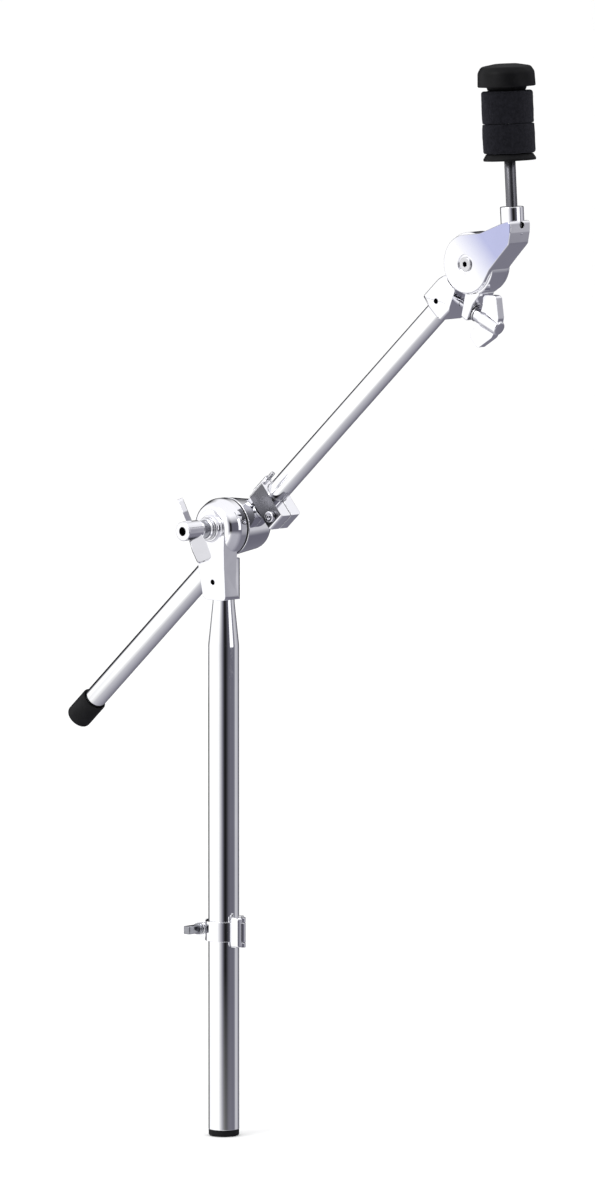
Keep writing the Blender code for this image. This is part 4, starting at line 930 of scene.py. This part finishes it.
def cymbal_rod():
    """The rod is plain between collar and cup; its top carries a cut thread."""
    low = 16 * MM
    high = KNOB_AT + 9.6 * MM
    pitch, depth, start = 1.25 * MM, 0.35 * MM, CUP_AT + 10 * MM
    profile = [(0, high), (ROD_R - 0.7 * MM, high)]
    z = high - 0.7 * MM
    while z > start:
        profile += [(ROD_R, z), (ROD_R - depth, z - pitch / 2)]
        z -= pitch
    profile += fillet([(ROD_R, z), (ROD_R, low, 0.5 * MM), (0, low)])
    finish(turned("threaded_cymbal_rod", profile, up_the_rod(0), 64), ROD_CHROME, "cymbal_head",
           "dark_chrome", "cymbal_rod")


def cup_washer():
    inner = ROD_R + GAP
    profile = [(16.6 * MM, CUP_H, 0.4 * MM), (FELT_R, 1.5 * MM, 0.9 * MM), (FELT_R, 0, 0.6 * MM),
               (inner, 0), (inner, CUP_H)]
    cup = turned("cymbal_cup", fillet(profile, steps=5, closed=True), up_the_rod(CUP_AT), 128, True)
    finish(cup, PLASTIC, "cymbal_head", "black_plastic", "cup_washer")


def felt_ring(name, at, height, radius, body, node, seed):
    """A pressed-wool ring: plump sides, rounded rims and a matted, fibrous surface."""
    inner = 6.5 * MM
    seam, free = 1 * MM, 2.2 * MM
    upper, lower = (seam, free) if node == "lower_felt" else (free, seam)
    plump = 0.25 * MM
    outer, eased = radius - plump, 0.8 * MM
    profile = fillet([(inner, height, eased), (outer, height, upper), (outer, 0, lower),
                      (inner, 0, eased)], steps=10, closed=True)
    ring = turned(name, profile, WORLD, 220, True)
    shape = bmesh.new()
    shape.from_mesh(ring.data)
    rows = [e for e in shape.edges if e.calc_length() > 1.6 * MM]
    bmesh.ops.subdivide_edges(shape, edges=rows, cuts=14, use_grid_fill=True)
    shape.normal_update()
    offset = Vector((seed * 3.1, seed * 1.7, seed * 2.3))
    for vertex in shape.verts:
        where = vertex.co
        lumps = noise.noise(where * 140 + offset) * 0.22 * MM
        mat = noise.fractal(where * 900 + offset, 1.0, 2.0, 4) * 0.16 * MM
        swell = plump * math.sin(math.pi * min(max(where.z / height, 0), 1))
        out = where.xy.length > inner + 1 * MM
        vertex.co = where + vertex.normal * ((lumps + mat - 0.1 * MM) + (swell if out else 0))
    shape.to_mesh(ring.data)
    shape.free()
    ring.data.transform(up_the_rod(at))
    finish(ring, FELT, body, "charcoal_felt", node, sharp=180)


def knob():
    top, neck, bore, depth = 18.8 * MM, 2.6 * MM, 7.5 * MM, 12.4 * MM
    flare = KNOB_R + 0.3 * MM
    profile = [(0, top), (8 * MM, top - 0.15 * MM, 6 * MM), (17.6 * MM, top - 1.9 * MM, 4 * MM),
               (KNOB_R - 0.1 * MM, top - 6 * MM, 5 * MM), (flare, neck + 0.7 * MM, 0.5 * MM),
               (flare - 0.5 * MM, neck, 0.4 * MM), (14.4 * MM, neck, 0.4 * MM),
               (13.4 * MM, 0, 0.5 * MM), (bore, 0), (bore, depth), (0, depth)]
    cap = turned("cymbal_screw_cap", fillet(profile, steps=6), up_the_rod(KNOB_AT), 128)
    finish(cap, PLASTIC, "knob", "black_plastic", "cymbal_knob")


# ---------------------------------------------------------------- nodes shown as they are packed

def dress(node, skin):
    """Give a kept node a procedural material."""
    piece = frame["nodes"][node]
    if not piece.material_slots:
        piece.data.materials.append(skin)
    piece.material_slots[0].link = "OBJECT"
    piece.material_slots[0].material = skin


def dress_kept_nodes():
    for node in ("boom_bush_lower", "boom_bush_upper", "cymbal_sleeve"):
        dress(node, NYLON)
    for node in ("eye_bolt", "release_spring", "tilter_drum"):
        dress(node, STEEL)
    dress("friction_disc", FRICTION)
    dress("knob_insert", BRASS)


# ---------------------------------------------------------------- studio

VIEW_AZIMUTH = math.radians(43.57)
VIEW_ELEVATION = math.radians(6.44)
VIEW_DISTANCE = 10.0
VIEW_CENTRE = Vector((100, 0, 392)) * MM
AIM_LEFT, AIM_UP = 19.5 * MM, 3.1 * MM                # from that centre to the picture's
FRAME_HEIGHT = 854 * MM
RIGHT = Vector((math.cos(VIEW_AZIMUTH), math.sin(VIEW_AZIMUTH), 0))
TO_CAMERA = Vector((math.sin(VIEW_AZIMUTH), -math.cos(VIEW_AZIMUTH), 0))

# what chrome sees round the horizon: degrees to the right of the camera, displayed brightness
CARDS = [(-180, 0.22), (-150, 0.12), (-141, 0.35), (-126, 1.08), (-40, 1.08), (-28, 0.90),
         (-16, 0.68), (-8, 0.49), (0, 0.29), (7, 0.13), (14, 0.11), (22, 0.20), (36, 0.38),
         (52, 0.44), (77, 0.44), (88, 0.52), (97, 0.79), (106, 0.83), (122, 0.72), (140, 0.58),
         (152, 0.14), (180, 0.22)]
# what it sees below, from behind the stand on the right to in front of it on the left
GLOW = [(-0.85, 0.44), (-0.5, 0.60), (0.0, 0.72), (0.35, 0.80), (0.56, 0.97), (0.64, 1.08)]
GLOW_STARTS, GLOW_FULL = -0.18, -0.40                 # heights of a direction, 1 straight up
CEILING_STARTS, CEILING_FULL = 0.30, 0.72
CEILING = (1.1, 1.1, 1.12, 1)
LIGHT = (1.12, 1.12, 1.12, 1)                         # what everything but chrome is lit by


def display(value):
    """Linear light for a brightness as it's displayed."""
    return value / 12.92 if value < 0.04 else ((value + 0.055) / 1.055) ** 2.4


def studio_tint(value):
    """Mid greys lean to lavender, the darkest to navy, and white stays white."""
    lean = max(0.0, 1 - abs(value - 0.42) / 0.5)
    return tuple(display(value * (1 + tilt * lean)) for tilt in (-0.01, -0.02, 0.09))


def world():
    """The studio that chrome mirrors: cards round the horizon, a white ceiling, a floor glow."""
    made = bpy.data.worlds.new("studio")
    bpy.context.scene.world = made
    made.use_nodes = True
    tree = made.node_tree
    tree.nodes.clear()

    def node(kind, operation=None, *inputs):
        n = tree.nodes.new(kind)
        if operation:
            n.operation = operation
        for socket, value in zip(n.inputs, inputs):
            plug(tree, socket, value)
        return n

    def math_node(operation, *inputs):
        return node("ShaderNodeMath", operation, *inputs).outputs[0]

    direction = node("ShaderNodeTexCoord").outputs["Generated"]
    sideways = node("ShaderNodeVectorMath", "DOT_PRODUCT", direction, RIGHT).outputs["Value"]
    forward = node("ShaderNodeVectorMath", "DOT_PRODUCT", direction, TO_CAMERA).outputs["Value"]
    height = node("ShaderNodeSeparateXYZ", None, direction).outputs["Z"]
    angle = math_node("ARCTAN2", sideways, forward)
    around = math_node("MULTIPLY_ADD", angle, 0.5 / math.pi, 0.5)

    def ramp(where, stops):
        n = node("ShaderNodeValToRGB", None, where)
        made_stops = n.color_ramp.elements
        while len(made_stops) < len(stops):
            made_stops.new(0.5)
        for stop, (place, value) in zip(made_stops, stops):
            stop.position = place
            stop.color = (*studio_tint(value), 1)
        return n.outputs["Color"]

    cards = ramp(around, [((degrees + 180) / 360, value) for degrees, value in CARDS])
    diagonal = math_node("MULTIPLY", math_node("SUBTRACT", forward, sideways), math.sqrt(0.5))
    front = math_node("MULTIPLY_ADD", diagonal, 0.5, 0.5)
    glow = ramp(front, [(place / 2 + 0.5, value) for place, value in GLOW])
    below = node("ShaderNodeMapRange", None, height, GLOW_STARTS, GLOW_FULL).outputs[0]
    above = node("ShaderNodeMapRange", None, height, CEILING_STARTS, CEILING_FULL).outputs[0]
    seen = mix_colours(tree, above, mix_colours(tree, below, cards, glow), CEILING)
    glossy = node("ShaderNodeLightPath").outputs["Is Glossy Ray"]
    colour = mix_colours(tree, glossy, LIGHT, seen)
    background = node("ShaderNodeBackground", None, colour, 1.0)
    output = node("ShaderNodeOutputWorld")
    tree.links.new(background.outputs[0], output.inputs[0])


def floor():
    size = 60.0
    mesh = bpy.data.meshes.new("floor")
    corners = [(-size, -size, 0), (size, -size, 0), (size, size, 0), (-size, size, 0)]
    mesh.from_pydata(corners, [], [(0, 1, 2, 3)])
    ground = link("floor", mesh)
    paper = Nodes("studio_paper")
    tone = paper.blend(paper.noise(0.4), (0.90, 0.90, 0.90), (0.93, 0.93, 0.93))
    paper.set(Base_Color=tone, Roughness=0.9)
    mesh.materials.append(paper.material)
    ground.visible_glossy = False
    ground.location.z = -0.2 * MM


def softbox(name, offset, width, height, power):
    """A soft light at an offset (right, toward the camera, up) from the view's centre."""
    data = bpy.data.lights.new(name, "AREA")
    data.shape = "RECTANGLE"
    data.size, data.size_y = width, height
    data.energy = power
    lamp = bpy.data.objects.new(name, data)
    bpy.context.scene.collection.objects.link(lamp)
    lamp.location = VIEW_CENTRE + RIGHT * offset[0] + TO_CAMERA * offset[1] + Z * offset[2]
    lamp.rotation_euler = (lamp.location - VIEW_CENTRE).to_track_quat("Z", "Y").to_euler()


def camera():
    data = bpy.data.cameras.new("camera")
    data.sensor_fit = "VERTICAL"
    data.sensor_height = 24.0
    data.lens = data.sensor_height * VIEW_DISTANCE / FRAME_HEIGHT
    data.clip_end = 200.0
    eye = bpy.data.objects.new("camera", data)
    bpy.context.scene.collection.objects.link(eye)
    toward = TO_CAMERA * math.cos(VIEW_ELEVATION) + Z * math.sin(VIEW_ELEVATION)
    up = toward.cross(RIGHT)
    centre = VIEW_CENTRE - RIGHT * AIM_LEFT + up * AIM_UP
    eye.matrix_world = axes_at(centre + toward * VIEW_DISTANCE, RIGHT, toward)
    bpy.context.scene.camera = eye


def build():
    lower_tube()
    lower_plug()
    post_lock()
    tilter_base()
    pin = spring_pin("base_spring_pin", 17 * MM, shift(0, 8.5 * MM, PIN_Z) @ TO_FRONT)
    finish(pin, STEEL, "post", "steel_hardware", "base_roll_pin")
    boom_clamp()
    wing_nut()
    boom()
    boom_lock()
    boom_socket()
    place = BOOM @ shift(SOCKET_PIN, 11 * MM, 0) @ TO_FRONT
    # The roll pin sits sunk in its hole and is given the painted bore shadow all over, as painted
    # shade.
    finish(spring_pin("socket_spring_pin", 22 * MM, place), PAINTED_BORE_SHADOW, "boom", "steel_hardware",
           "socket_roll_pin")
    wing_bolt()
    tilter_head()
    tilter_hardware()
    cymbal_rod()
    cup_washer()
    felt_ring("cymbal_felt_lower", FELT_AT, LOWER_FELT, FELT_R, "cymbal_head", "lower_felt", 1)
    felt_ring("cymbal_felt_upper", TOP_FELT_AT, UPPER_FELT, FELT_R - 0.2 * MM, "top_felt",
              "upper_felt", 2)
    knob()
    dress_kept_nodes()


build()
world()
floor()
softbox("key", (-3.0, 2.2, 2.4), width=2.4, height=2.4, power=60.0)
softbox("fill", (3.2, 1.6, 0.8), width=2.0, height=2.6, power=18.0)
camera()
bpy.context.scene.view_settings.view_transform = "Standard"
